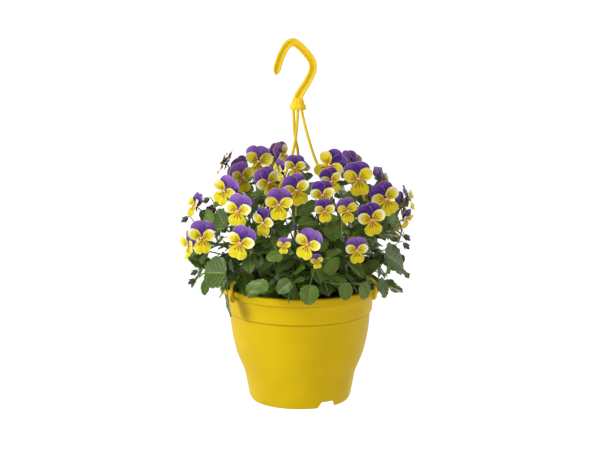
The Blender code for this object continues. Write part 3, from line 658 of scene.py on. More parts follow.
def make_soil(materials):
    """The lumpy top of the compost, over a plain body that fills the pot."""
    foot, base = 70.0, FLOOR_TOP + 0.4
    soil = started(
        "soil", bpy.ops.mesh.primitive_circle_add,
        vertices=64, radius=foot, fill_type="NGON", location=(0, 0, base),
    )
    outline = [
        (76.2, 41), (89.4, 82), (94.5, 104), (95.8, 131), (101.4, 147), (102.0, SOIL_EDGE - 2),
        (96, SOIL_EDGE), (84, SOIL_EDGE + 3), (70, 155), (54, 156.5), (38, SOIL_CROWN - 0.5),
        (22, SOIL_CROWN), (8, SOIL_CROWN),
    ]
    drawn_up(soil, (0, 0), (foot, foot, base), [(radius, radius, height) for radius, height in outline])
    apply_modifier(soil, "SUBSURF", levels=2, render_levels=2)
    lumps = bpy.data.textures.new("lumps", "CLOUDS")
    lumps.noise_scale = 9.0
    lumps.noise_depth = 4
    _, _, z = coordinates(soil)
    top = soil.vertex_groups.new(name="top")
    top.add([int(number) for number in np.nonzero(z > SOIL_EDGE - 1)[0]], 1.0, "REPLACE")
    apply_modifier(
        soil, "DISPLACE", texture=lumps, strength=6.5, mid_level=0.62, vertex_group="top",
        texture_coords="LOCAL",
    )
    soil.vertex_groups.clear()
    soil.data.materials.append(materials[0])

    crumb = started("crumb", bpy.ops.mesh.primitive_ico_sphere_add, subdivisions=1, radius=1.0)
    crumb.data.materials.append(materials[1])
    draw = random.Random(SEED + 1)
    parts = [soil]
    for _ in range(CHIP_COUNT):
        chip = copy_of(crumb)
        angle, reach = draw.uniform(0, 360), CHIP_RING * math.sqrt(draw.random())
        level = SOIL_EDGE + (SOIL_CROWN - SOIL_EDGE) * (1 - reach / CHIP_RING) ** 0.6
        size = [draw.uniform(0.7, 3.0), draw.uniform(0.7, 2.2), draw.uniform(0.5, 1.1)]
        turn = Matrix.Rotation(draw.uniform(0, math.tau), 4, "Z")
        place = Matrix.Translation(polar(reach, angle, level))
        chip.data.transform(place @ turn @ Matrix.Diagonal((*size, 1.0)))
        parts.append(chip)
    bpy.data.objects.remove(crumb, do_unlink=True)
    soil = joined("compost", parts)
    smooth(soil, 60.0)
    return finished(soil, "compost", ["soil"])


# Hanger

def at(x, y, above_rim):
    """A point by its height above the rim."""
    return Vector((x, y, RIM_TOP + above_rim))


def hook_route():
    """The middle line of the hook, from its tip over the crest and down into the collar."""
    return smooth_route([
        at(-33.5, 0, 299), at(-31.5, 0, 311), at(-25.5, 0, 328), at(-17.5, 0, 341.5), at(-8.8, 0, 345),
        at(0.0, 0, 339.5), at(10.5, 0, 328), at(17.2, 0, 317.5), at(17.6, 0, 304.5), at(10.3, 0, 288.6),
        at(2.0, 0, 275.5), at(-2.6, 0, 266), at(COLLAR_X, 0, 256),
    ], 2.5)


def arm_section():
    """The hook arm's section, hollowed along its front and its back, with soft edges."""
    half, web = HOOK_WIDTH / 2, HOOK_WIDTH / 2 - HOOK_FLANGE
    deep, shallow = HOOK_THICKNESS / 2, HOOK_WEB / 2
    soft = 1.0
    quarter = [(half, deep - soft), (half - 0.3, deep - 0.3), (half - soft, deep), (web + 0.5, deep)]
    quarter += [(web, deep - 0.6), (web - 0.5, shallow + 0.3), (web - 1.2, shallow)]
    left = [(-x, y) for x, y in reversed(quarter)]
    upper = quarter + left
    return upper + [(-x, -y) for x, y in upper]


def make_hook(materials):
    """The hook and its collar."""
    route = hook_route()
    frames = []
    for number, place in enumerate(route):
        ahead = (route[min(number + 1, len(route) - 1)] - route[max(number - 1, 0)]).normalized()
        frames.append((place, ahead, ahead.cross(Vector((0, 1, 0))).normalized()))
    outline = arm_section()
    count = len(outline)

    hook = started(
        "hook", bpy.ops.mesh.primitive_circle_add, vertices=count, radius=1.0, fill_type="NGON"
    )
    bpy.ops.object.mode_set(mode="EDIT")
    bpy.ops.mesh.select_all(action="SELECT")
    for _ in route[1:]:
        bpy.ops.mesh.extrude_region_move(TRANSFORM_OT_translate={"value": (0, 0, 1.0)})
    bpy.ops.object.mode_set(mode="OBJECT")
    x, y, z = coordinates(hook)
    ring = np.rint(z).astype(int)
    corner = np.rint(np.arctan2(y, x) / math.tau * count).astype(int) % count
    first = corner[0]
    places = []
    for level, turn in zip(ring, corner):
        place, ahead, side = frames[level]
        scale = math.sin(min(1.0, (level + 0.7) / HOOK_TIP_RINGS) * math.pi / 2)
        flare = 1 + HOOK_WIDENING * max(0.0, 1 - (place.z - COLLAR_BOTTOM) / HOOK_FLARE)
        across, front = outline[(turn - first) % count]
        places.append(place + side * across * scale * flare + Vector((0, 1, 0)) * front * scale)
    move_corners(hook, *np.array([tuple(place) for place in places]).T)
    outward(hook)

    foot = (COLLAR_X, 0, COLLAR_BOTTOM)
    wide, deep = 12.2, 8.2
    collar = started(
        "collar", bpy.ops.mesh.primitive_circle_add,
        vertices=8, radius=1.0, fill_type="NGON", location=foot,
    )
    bpy.ops.transform.rotate(value=math.radians(22.5), orient_axis="Z", center_override=foot)
    bpy.ops.object.transform_apply(location=True, rotation=True, scale=True)
    bpy.ops.object.mode_set(mode="EDIT")
    bpy.ops.mesh.select_all(action="SELECT")
    bpy.ops.transform.resize(value=(wide, deep, 1), center_override=foot)
    bpy.ops.object.mode_set(mode="OBJECT")
    rings = [
        (12.6, 8.6, 1.0), (12.6, 8.6, 4.8), (12.0, 8.0, 5.8), (10.6, 7.0, 7.2), (9.6, 6.6, 9.5),
        (8.6, 6.0, 13.0), (7.0, 5.2, 17.0),
    ]
    levels = [(across, front, COLLAR_BOTTOM + rise) for across, front, rise in rings]
    drawn_up(collar, (COLLAR_X, 0), (wide, deep, COLLAR_BOTTOM), levels)
    apply_modifier(
        collar, "BEVEL", width=0.7, segments=2, limit_method="ANGLE", angle_limit=math.radians(25)
    )
    apply_modifier(hook, "BOOLEAN", operation="UNION", object=collar, solver="EXACT")
    bpy.data.objects.remove(collar, do_unlink=True)

    sockets = []
    for place in (-1, 0, 1):
        sockets.append(started(
            "socket", bpy.ops.mesh.primitive_cylinder_add,
            vertices=24, radius=SOCKET_RADIUS, depth=SOCKET_DEPTH + 1,
            location=(COLLAR_X + place * SOCKET_PITCH, 0, COLLAR_BOTTOM + SOCKET_DEPTH / 2 - 0.5),
        ))
    socket = joined("sockets", sockets)
    apply_modifier(hook, "BOOLEAN", operation="DIFFERENCE", object=socket, solver="EXACT")
    bpy.data.objects.remove(socket, do_unlink=True)
    smooth(hook, 38.0)
    return finished(hook, "hanger_hook", ["hook"], materials)


def strand_stations(name):
    """A strand's stations: out of the collar, down between the flowers, and then over the lip."""
    top = COLLAR_BOTTOM - RIM_TOP + SOCKET_DEPTH - 0.5
    heads = {
        "left": [(-3.0, 0, top), (-3.0, 0, 245), (-5.9, -3.2, 212), (-11.3, -8.2, 185), (-20.8, -14.8, 159)],
        "right": [(3.0, 0, top), (3.0, 0, 245), (9.0, -1.5, 219), (20.1, -8.0, 183), (31.0, -14.4, 160)],
        "back": [(-9.0, 0, top), (-9.0, 0, 245), (-7.3, 4.6, 212), (-3.5, 11.0, 190), (-0.5, 24.0, 161)],
    }
    clip = [
        (84.0, 52.0), (101.7, 19.6), (107.2, 15.6), (113.0, 13.8), (117.0, 9.6), (117.8, 3.0),
        (117.7, -9.5), (116.0, -13.4), (113.2, -14.0),
    ]
    head = [at(*point) for point in heads[name]]
    foot = [polar(reach, CLIP_ANGLES[name], RIM_TOP + height) for reach, height in clip]
    return head, foot


def strand_route(name):
    """The strand's middle line as the planting plan knows it."""
    head, foot = strand_stations(name)
    return smooth_route(head, 18.0) + smooth_route(foot, 9.0)


def make_strand(name, materials):
    """One moulded strand, thicker where its clip bends over the lip."""
    head, foot = strand_stations(name)
    route = smooth_route(head, 6.0) + smooth_route(foot, 2.5)
    radii = []
    for place in route:
        reach = math.hypot(place.x, place.y)
        swell = 0.35 * math.exp(-((reach - 108.0) / 7.0) ** 2) if place.z < RIM_TOP + 40 else 0.0
        radii.append(STRAND_RADIUS * (0.95 + swell))
    radii[-1] *= 0.7
    strand = drawn_curve("strand", [route], [radii], sides=4)
    outward(strand)
    smooth(strand, 50.0)
    return finished(strand, "hanger_strand_" + name, ["strand_" + name], materials)


# Planting plan: the same rules and the same draws as the solids, so that every fine flower, stem and
# leaf stands where its solid does

# The photograph's eye point, and the rounded mass that the flowers stand on
EYE = Vector((0.0, -3913.0, RIM_TOP + 914.0))
DOME_REACH = 158.0
DOME_RISE = 152.0
DOME_MIDDLE = RIM_TOP + 30.0
DOME_POWER = 3.0
SINK_STEP = 3.0
SINK_LIMIT = 90.0

Bloom = namedtuple("Bloom", "place turn size")
Leaf = namedtuple("Leaf", "root base along face length width bend")
Stem = namedtuple("Stem", "curve plant bloom")

# Each flower as the front view shows it: millimetres right of the pot's axis and above the rim,
# size, then its face's turn to the right, its tilt up and its lean to the left, in degrees
FRONT_FLOWERS = (
    (-30, 112, 1.02, 0, 2, 0), (35, 103, 0.75, 8, 0, 4), (102, 90, 1.05, 14, 4, 12),
    (67, 103, 0.82, 25, 0, 8), (-140, 64, 1.08, -8, 4, 0), (-85, 56, 1.08, -16, 6, -16),
    (11, 54, 1.00, -18, 4, -20), (81, 45, 0.84, 6, 2, 2), (-23, 52, 0.52, -4, 6, 0),
    (24, 29, 0.48, 6, -6, 10), (-52, 86, 0.92, -32, -4, -10), (-88, 103, 1.05, -20, 2, -6),
    (-5, 133, 1.02, 6, 4, 20), (32, 126, 0.90, 4, 0, 6), (122, 120, 1.10, 16, 6, 24),
    (83, 149, 1.12, 6, 12, 6), (44, 146, 0.84, 12, 4, 18), (-45, 144, 1.00, 30, 6, 24),
    (-107, 132, 0.98, -26, 2, -30), (-159, 52, 0.98, -62, 0, -4), (-59, 174, 1.08, 22, 14, -8),
    (-82, 151, 1.00, 38, 4, 8), (-7, 166, 0.80, 0, 0, 0), (42, 169, 1.10, -12, 18, -44),
    (-151, 112, 0.84, -62, 22, 0), (152, 91, 0.66, 52, -18, 0), (156, 122, 0.90, 84, 18, 0),
    (-108, 174, 0.92, -98, 26, 0), (-30, 162, 0.74, -64, 0, 0), (-24, 184, 0.86, 62, 16, 34),
    (115, 148, 0.92, 112, 10, 0), (98, 122, 0.80, -118, 0, 0),
)
BACK_FLOWERS = 13
FLOWER_COUNT = len(FRONT_FLOWERS) + BACK_FLOWERS

# Leaves that shape the front view: millimetres right and above the rim of the blade's foot and of
# its tip, how far the blade stands off the dome, and its width over its length
FRONT_LEAVES = (
    (-106, 12, -140, 14, 0, 0.80), (-112, 4, -134, -6, 6, 0.85), (144, 66, 176, 70, -30, 0.62),
    (122, 40, 152, 22, -14, 0.62), (112, 24, 138, 6, -6, 0.58), (112, 0, 128, -22, 0, 0.62),
    (14, -6, 12, -36, 8, 0.90), (62, -4, 70, -28, 6, 0.80), (88, -4, 98, -26, 4, 0.80),
    (38, 66, 60, 84, -22, 0.86), (-22, 62, -44, 84, -24, 0.86), (4, 96, -12, 118, -26, 0.80),
    (-150, 68, -176, 60, -10, 0.70), (10, 176, 16, 198, -30, 0.70), (-106, 80, -122, 104, -26, 0.72),
    (-46, -6, -80, -10, 4, 0.55), (-14, 0, -34, -16, 6, 0.80), (128, 84, 140, 104, -28, 0.72),
)

LEAF_SITES = (0.32, 0.52, 0.70, 0.86)
STEM_STEPS = (0.0, *LEAF_SITES, 1.0)
FLOWER_BALL = 4.2
LEAF_BALL = 3.7
STEM_BALL = 1.7
STRAND_BALL = 4.0
STRAND_OWNER = -1
FIRST_FLOWER_OWNER = 100
CALYX_DEPTH = 4.5
PLANTS_TRIED = 3
STALK_TRIES = 120
SHOOTS_PER_PLANT = 2
SHOOT_TRIES = 120
LEAF_TRIES = 26
LEAF_COUNT = 84
FRONT_LEAF_BEND = 5.0

# Petals by their angle from straight up, clockwise as seen from the front. layer is how far the
# blade stands in front of the hub and lean how much further its tip does. neck and flare shape the
# outline, cup curls its edge forward, swing turns it from its place in the plan, and violet says
# which colour it takes
Petal = namedtuple("Petal", "angle length width layer lean neck flare cup swing violet")
PETALS = (
    Petal(26, 20.5, 22.0, -2.6, -2.2, 0.45, 0.5, -1.5, 0, True),
    Petal(80, 17.0, 15.5, 1.9, 1.2, 0.50, 0.5, 1.5, -12, False),
    Petal(180, 18.5, 23.0, 0.3, 1.6, 0.16, 3.0, -1.5, 0, False),
    Petal(280, 17.0, 15.5, 1.9, 1.2, 0.50, 0.5, 1.5, 12, False),
    Petal(334, 20.5, 22.0, -1.2, -1.8, 0.45, 0.5, -1.5, 0, True),
)
HUB_RADIUS = 2.6


def plant_angles():
    """The angle of each plant round the pot; no plant stands under a strand."""
    return [FIRST_PLANT_ANGLE + 360.0 * plant / PLANT_COUNT for plant in range(PLANT_COUNT)]


def dome_level(place):
    """1 on the flower dome, less inside it and more outside."""
    reach = math.hypot(place.x, place.y) / DOME_REACH
    rise = abs(place.z - DOME_MIDDLE) / DOME_RISE
    return reach ** DOME_POWER + rise ** DOME_POWER


def dome_reach(above):
    """How far from the pot's axis the dome stands at a height above the rim."""
    rise = abs(RIM_TOP + above - DOME_MIDDLE) / DOME_RISE
    return DOME_REACH * (1 - min(0.97, rise) ** DOME_POWER) ** (1 / DOME_POWER)


def on_dome(right, above, sink):
    """The point of the dome that the front view shows at this place, moved away by sink."""
    plane = at(right, 0, above)
    toward = (EYE - plane).normalized()
    steps = [plane + toward * distance for distance in range(210, -210, -2)]
    inside = [step for step in steps if dome_level(step) < 1]
    nearest = inside[0] if inside else min(steps, key=dome_level)
    return nearest - toward * sink


class Space:
    """What is planted so far, as balls, so that nothing new runs through it."""

    def __init__(self):
        self.balls = np.zeros((0, 4))
        self.owners = np.zeros(0, dtype=int)

    def add(self, places, size, owner):
        """Fills balls of one size round the places."""
        fresh = np.array([(*place, size) for place in places])
        self.balls = np.vstack([self.balls, fresh])
        self.owners = np.append(self.owners, [owner] * len(places))

    def free(self, places, size, owners, share=0.0):
        """True where the places keep off all others' balls, and off their owners' by a share."""
        fresh = np.array([tuple(place) for place in places])
        apart = np.linalg.norm(fresh[:, None, :] - self.balls[None, :, :3], axis=2)
        need = (self.balls[:, 3] + size) * np.where(np.isin(self.owners, owners), share, 1.0)
        return bool((apart >= need[None, :]).all())


def off_pot(places, size):
    """True where the places keep off the pot and the soil."""
    for place in places:
        reach = math.hypot(place.x, place.y)
        inside = reach < LEDGE_INNER - size and place.z > SOIL_CROWN + size
        if not (place.z > RIM_TOP + size or reach > LIP_RADIUS + size or inside):
            return False
    return True


def clock(angle, distance, forward=0.0):
    """A point of the flower: an angle from straight up, a distance out and one forward."""
    turn = math.radians(angle)
    return Vector((distance * math.sin(turn), -forward, distance * math.cos(turn)))


def flower_balls(bloom):
    """Places all over a flower's face and the sepals behind it."""
    spots = [Vector((0.0, 0.0, 0.0))]
    spots += [clock(72 + 72 * number, 6.0, -5.5) for number in range(5)]
    for petal in PETALS:
        for t, s in ((0.45, 0.0), (0.92, 0.0), (0.70, 0.6), (0.70, -0.6)):
            ahead, side = clock(petal.angle, HUB_RADIUS + petal.length * t), clock(petal.angle + 90, 1)
            forward = petal.layer + petal.lean * t * t
            spots.append(ahead + side * petal.width / 2 * s - Vector((0, forward, 0)))
    return [bloom.place + bloom.turn @ spot * bloom.size for spot in spots]


def leaf_balls(leaf):
    """Places all over a leaf's blade."""
    side = leaf.along.cross(leaf.face)
    spots = (
        (0.06, 0), (0.16, 0.5), (0.16, -0.5), (0.34, 0.6), (0.34, -0.6), (0.32, 0), (0.56, 0.62),
        (0.56, -0.62), (0.62, 0), (0.80, 0.42), (0.80, -0.42), (0.94, 0),
    )
    return [
        leaf.base + leaf.along * leaf.length * t + side * leaf.width * 0.5 * s
        - leaf.face * leaf.bend * t * t for t, s in spots
    ]


def any_way(draw):
    """A vector with each of its numbers drawn between -1 and 1."""
    return Vector([draw.uniform(-1, 1) for _ in range(3)])


def curve_point(curve, t):
    """A point on a cubic Bezier curve."""
    a, b, c, d = curve
    u = 1 - t
    return a * u ** 3 + b * (3 * t * u * u) + c * (3 * t * t * u) + d * t ** 3


def along_line(start, end, step=4.5):
    """Places along a straight piece of stem, without its first."""
    count = max(1, round((end - start).length / step))
    return [start.lerp(end, (number + 1) / count) for number in range(count)]


def leaf_site(stem, t):
    """A point on a stem, and the stem's direction there."""
    root = curve_point(stem.curve, t)
    return root, (curve_point(stem.curve, t + 0.03) - root).normalized()


def stem_places(curve):
    """Places along a stem's straight pieces, short of its flower."""
    corners = [curve_point(curve, t) for t in STEM_STEPS[:-1]] + [curve_point(curve, 0.94)]
    return [place for start, end in zip(corners, corners[1:]) for place in along_line(start, end)]


def face_turn(turn, tilt, lean):
    """The rotation of a flower that faces -Y at first."""
    spin = Matrix.Rotation(math.radians(turn), 3, "Z")
    nod = Matrix.Rotation(math.radians(-tilt), 3, "X")
    roll = Matrix.Rotation(math.radians(-lean), 3, "Y")
    return spin @ nod @ roll


def plan_flowers(space, draw):
    """Places the flowers, front ones first, each sunk until it keeps off those before it."""
    blooms = []

    def place(right, above, size, turn, level=None):
        for step in range(int(SINK_LIMIT / SINK_STEP)):
            sink = step * SINK_STEP
            spot = on_dome(right, above, sink) if level is None else level(sink)
            bloom = Bloom(spot, turn, size)
            if space.free(flower_balls(bloom), FLOWER_BALL * size, []):
                space.add(flower_balls(bloom), FLOWER_BALL * size, FIRST_FLOWER_OWNER + len(blooms))
                blooms.append(bloom)
                return

    for right, above, size, turn, tilt, lean in FRONT_FLOWERS:
        place(right, above, size, face_turn(turn, tilt, lean))
    step = 0
    while len(blooms) < FLOWER_COUNT:
        step += 1
        angle = 12.0 + (step * 97.5) % 156.0
        above = 30.0 + (step * 61.8) % 140.0
        size = draw.uniform(0.85, 1.08)
        turn = face_turn(angle + 90 + draw.uniform(-25, 25), draw.uniform(-4, 22), draw.uniform(-15, 15))
        reach = dome_reach(above)

        def level(sink, reach=reach, angle=angle, above=above):
            return polar(reach - sink, angle, RIM_TOP + above)

        place(0, 0, size, turn, level)
    return blooms


def crown_edge(plant, goal, others):
    """Where a stem that makes for a goal leaves its plant's crown, lower with more stems there."""
    centre = polar(PLANT_RING, plant_angles()[plant])
    outward_way = Vector((goal.x - centre.x, goal.y - centre.y, 0)).normalized()
    rank = sum(stem.plant == plant for stem in others)
    return centre + outward_way * CROWN_RADIUS * 0.6 + UP * (CROWN_TOP - 1.8 - 2.4 * (rank % 4))


def plan_stalks(space, draw, blooms):
    """A stalk from a plant's crown to the back of each flower."""
    stems = []
    for number, bloom in enumerate(blooms):
        back = bloom.turn @ Vector((0, 1, 0))
        end = bloom.place + back * CALYX_DEPTH * bloom.size

        def reach(plant, end=end):
            return (polar(75, plant_angles()[plant], RIM_TOP) - end).length

        plants = sorted(range(PLANT_COUNT), key=reach)[:PLANTS_TRIED]
        for attempt in range(PLANTS_TRIED * STALK_TRIES):
            plant = plants[attempt // STALK_TRIES]
            start = crown_edge(plant, end, stems)
            loose = min(1.0, attempt / 40.0)
            rise = (end - start).length
            first = start + UP * rise * 0.42 + (end - start) * 0.12 + any_way(draw) * 26 * loose
            hook = end + back * 17 - UP * 15 + any_way(draw) * 12 * loose
            curve = (start, first, hook, end)
            places = stem_places(curve)
            own = [plant, FIRST_FLOWER_OWNER + number]
            free = off_pot(places, STEM_BALL) and space.free(places, STEM_BALL, own)
            if free and clear_of_own(curve, bloom):
                space.add(places, STEM_BALL, plant)
                stems.append(Stem(curve, plant, number))
                break
        else:
            raise ValueError("no stalk reaches flower %d" % number)
    return stems


def clear_of_own(curve, bloom):
    """True where a stalk stays behind its own flower."""
    back = bloom.turn @ Vector((0, 1, 0))
    for t in np.linspace(0.6, 0.96, 10):
        offset = curve_point(curve, t) - bloom.place
        if offset.length < 24 * bloom.size and offset.dot(back) < 3.0:
            return False
    return True


def plan_shoots(space, draw, others):
    """Leafy shoots that lean out over the rim, where no flower stands."""
    stems = []
    for plant, middle in enumerate(plant_angles()):
        for shoot in range(SHOOTS_PER_PLANT):
            for _ in range(SHOOT_TRIES):
                angle = middle + (-13, 13)[shoot] + draw.uniform(-7, 7)
                start = crown_edge(plant, polar(150, angle), stems + others)
                first = polar(78, angle, RIM_TOP + draw.uniform(30, 52))
                over = polar(draw.uniform(112, 124), angle, RIM_TOP + draw.uniform(26, 48))
                end = polar(draw.uniform(134, 148), angle, RIM_TOP + draw.uniform(-2, 34))
                curve = (start, first, over, end)
                places = stem_places(curve)
                if off_pot(places, STEM_BALL + 1) and space.free(places, STEM_BALL, [plant]):
                    space.add(places, STEM_BALL, plant)
                    stems.append(Stem(curve, plant, None))
                    break
    return stems


def try_leaf(space, leaf, plant):
    """Adds a leaf where its blade and its petiole are clear of everything."""
    blade = leaf_balls(leaf)
    steps = along_line(leaf.root, leaf.base)
    if not off_pot(blade + steps, 1.2):
        return False
    if not space.free(blade, LEAF_BALL, [plant], 0.95) or not space.free(steps, 1.2, [plant], 0.85):
        return False
    space.add(blade, LEAF_BALL, plant)
    space.add(steps, 1.2, plant)
    return True


def squared(face, along):
    """The part of face that is square to along, as a unit vector."""
    return (face - along * face.dot(along)).normalized()


def plan_leaves(space, draw, stems, wanted):
    """The leaves that shape the front view, and then leaves along every stem by a rule."""
    leaves = []
    for right, above, tip_right, tip_above, proud, ratio in FRONT_LEAVES:
        foot = on_dome(right, above, -proud)
        tip = on_dome(tip_right, tip_above, -proud)
        along = (tip - foot).normalized()
        length = (tip - foot).length
        out = Vector((foot.x, foot.y, 60)).normalized()
        spots = []
        for number, stem in enumerate(stems):
            for t in LEAF_SITES:
                root = curve_point(stem.curve, t)
                spots.append(((root - foot).length, number, root))
        spots.sort(key=lambda spot: spot[0])
        for distance, number, root in spots[:12]:
            face = squared(out, along)
            leaf = Leaf(root, foot, along, face, length, length * ratio, FRONT_LEAF_BEND)
            if distance > 6 and try_leaf(space, leaf, stems[number].plant):
                leaves.append((leaf, stems[number].plant))
                break
    sites = [(stem, t) for t in LEAF_SITES for stem in stems]
    draw.shuffle(sites)
    for stem, t in sites:
        if len(leaves) >= wanted:
            break
        root, ahead = leaf_site(stem, t)
        out = Vector((root.x, root.y, 0)).normalized()
        for _ in range(LEAF_TRIES):
            sway = any_way(draw)
            along = squared(out * 0.8 + sway + ahead * 0.3 - UP * 0.1, ahead) + ahead * 0.35 + out * 0.35
            along.normalize()
            length = draw.uniform(23, 36)
            petiole = draw.uniform(7, 20)
            droop = -UP * draw.uniform(-0.2, 0.5)
            base = root + along * petiole
            blade = (along + droop).normalized()
            face = squared(UP * 0.8 + out * 0.7 + sway * 0.25, blade)
            width = length * draw.uniform(0.66, 0.84)
            leaf = Leaf(root, base, blade, face, length, width, draw.uniform(2, 7))
            if dome_level(base + blade * length) < 1.12 and try_leaf(space, leaf, stem.plant):
                leaves.append((leaf, stem.plant))
                break
    return leaves


def plan():
    """The whole planting: flowers, stems and leaves."""
    draw = random.Random(SEED)
    space = Space()
    for name in CLIP_ANGLES:
        route = strand_route(name)
        for start, end in zip(route, route[1:]):
            space.add(along_line(start, end), STRAND_BALL, STRAND_OWNER)
    blooms = plan_flowers(space, draw)
    stems = plan_stalks(space, draw, blooms)
    stems += plan_shoots(space, draw, stems)
    leaves = plan_leaves(space, draw, stems, LEAF_COUNT)
    return blooms, stems, leaves


# What the fine planting adds: low leaves that lean on the lip, leaves in the middle, smaller leaves
# that close the gaps between the planned ones, and buds. SCREEN_SHARE of the smaller leaves face out
SKIRT_COUNT = 46
FILL_SITES = (0.10, 0.18, 0.26, 0.36, 0.46, 0.58, 0.70, 0.80)
FILL_COUNT = 400
FILL_TRIES = 10
CENTRE_TRIES = 160
FILL_BALL = 1.5
FINE_STRAND_BALL = 2.6
FINE_FLOWER_BALL = 3.6
FINE_STEM_BALL = 0.9
SCREEN_SHARE = 0.6

# Buds of the front view, in millimetres right of the pot's axis and above the rim
FRONT_BUDS = ((-115, 74), (-160, 94), (153, 95), (148, 56), (-62, 122), (60, 66), (-8, 84), (104, 58))
BUD_COUNT = 18
BUD_SITES = (0.45, 0.58, 0.70, 0.82)
BUD_LENGTH = 12.0

Bud = namedtuple("Bud", "place along curve plant")


def fine_space(blooms, stems, leaves):
    """The planned pieces as balls, smaller than the solids need."""
    space = Space()
    for name in CLIP_ANGLES:
        route = strand_route(name)
        for start, end in zip(route, route[1:]):
            space.add(along_line(start, end), FINE_STRAND_BALL, STRAND_OWNER)
    for bloom in blooms:
        space.add(flower_balls(bloom), FINE_FLOWER_BALL * bloom.size, STRAND_OWNER)
    for stem in stems:
        space.add(stem_places(stem.curve), FINE_STEM_BALL, STRAND_OWNER)
    for leaf, _ in leaves:
        space.add(leaf_balls(leaf), FILL_BALL, STRAND_OWNER)
    return space


def plan_buds(space, stems):
    """Nodding buds on thin stalks: those of the front view, and then some by a rule."""
    draw = random.Random(SEED + 4)
    goals = [on_dome(right, above, -4.0) for right, above in FRONT_BUDS]
    while len(goals) < BUD_COUNT:
        above = draw.uniform(0, 130)
        goals.append(polar(dome_reach(above) - 6, draw.uniform(-30, 210), RIM_TOP + above))
    buds = []
    for goal in goals:
        out = Vector((goal.x, goal.y, 0)).normalized()
        sites = [
            ((curve_point(stem.curve, t) - goal).length, number, t)
            for number, stem in enumerate(stems) for t in BUD_SITES
        ]
        for distance, number, t in sorted(sites)[:20]:
            root = curve_point(stems[number].curve, t)
            curve = (root, root + UP * distance * 0.5, goal + UP * 8 - out * 4, goal)
            stalk = [curve_point(curve, step / 8) for step in range(2, 9)]
            along = (out * 0.8 - UP * draw.uniform(0.2, 0.9)).normalized()
            body = [goal + along * reach for reach in (2.0, 6.0, 10.0)]
            if distance > 8 and space.free(stalk, 0.5, []) and space.free(body, 2.8, []):
                space.add(body, 3.2, STRAND_OWNER)
                space.add(stalk, 0.8, STRAND_OWNER)
                buds.append(Bud(goal, along, curve, stems[number].plant))
                break
    return buds


def plan_fill(space, stems):
    """Leaves on the lip, in the middle and along every stem, closer than the solids can be."""
    draw = random.Random(SEED + 2)
    fill = []

    def grow(leaf, plant):
        balls = leaf_balls(leaf)
        inside = dome_level(leaf.base + leaf.along * leaf.length) < 1.05
        free = inside and off_pot(balls, 1.0) and space.free(balls, FILL_BALL, [])
        if free:
            space.add(balls, FILL_BALL, STRAND_OWNER)
            fill.append((leaf, plant))
        return free

    for number in range(SKIRT_COUNT):
        for _ in range(3 * FILL_TRIES):
            angle = 360.0 * number / SKIRT_COUNT + draw.uniform(-5, 5)
            base = polar(draw.uniform(74, 104), angle, RIM_TOP + draw.uniform(4, 30))
            out, aside = polar(1, angle), polar(1, angle + 90)
            along = (out + aside * draw.uniform(-1.2, 1.2) - UP * draw.uniform(-0.35, 0.55)).normalized()
            length = draw.uniform(23, 34)
            face = squared(UP * 0.7 + out * 0.9, along)
            stem, root = nearest_site(stems, base)
            width = length * draw.uniform(0.66, 0.86)
            leaf = Leaf(root, base, along, face, length, width, draw.uniform(3, 9))
            if grow(leaf, stem.plant):
                break
    for _ in range(CENTRE_TRIES):
        base = polar(draw.uniform(4, 64), draw.uniform(0, 360), RIM_TOP + draw.uniform(4, 56))
        sway = any_way(draw)
        along = (sway * 0.8 + UP * 0.35).normalized()
        face = squared(UP + sway * 0.2, along)
        stem, root = nearest_site(stems, base)
        length = draw.uniform(20, 31)
        grow(Leaf(root, base, along, face, length, length * draw.uniform(0.64, 0.84), 4.0), stem.plant)
    sites = [(stem, t) for stem in stems for t in FILL_SITES]
    draw.shuffle(sites)
    for stem, t in sites * 2:
        if len(fill) >= FILL_COUNT:
            break
        root, ahead = leaf_site(stem, t)
        out = Vector((root.x, root.y, 0)).normalized()
        for _ in range(FILL_TRIES):
            sway = any_way(draw)
            length = draw.uniform(17, 31)
            if draw.random() < SCREEN_SHARE:
                along = (sway * 0.9 + UP * 0.2 + out * 0.35).normalized()
                base = root + out * draw.uniform(2, 9) + along * draw.uniform(2, 8)
                face = squared(out + UP * 0.35 + sway * 0.2, along)
            else:
                along = (squared(out * 0.5 + sway, ahead) + ahead * 0.5 + out * 0.2).normalized()
                base = root + along * draw.uniform(5, 13)
                along = (along - UP * draw.uniform(-0.3, 0.5)).normalized()
                face = squared(UP * 0.7 + out * 0.8 + sway * 0.4, along)
            width = length * draw.uniform(0.60, 0.82)
            leaf = Leaf(root, base, along, face, length, width, draw.uniform(1, 6))
            if grow(leaf, stem.plant):
                break
    return fill


def nearest_site(stems, place):
    """The stem, and the point on it, that a leaf with its foot at a place grows from."""
    sites = [(stem, curve_point(stem.curve, t)) for stem in stems for t in FILL_SITES]
    return min(sites, key=lambda site: (site[1] - place).length)


# Flowers

PETAL_CELLS = 12
PETAL_THICKNESS = 0.45
FLOWER_SHAPES = 6


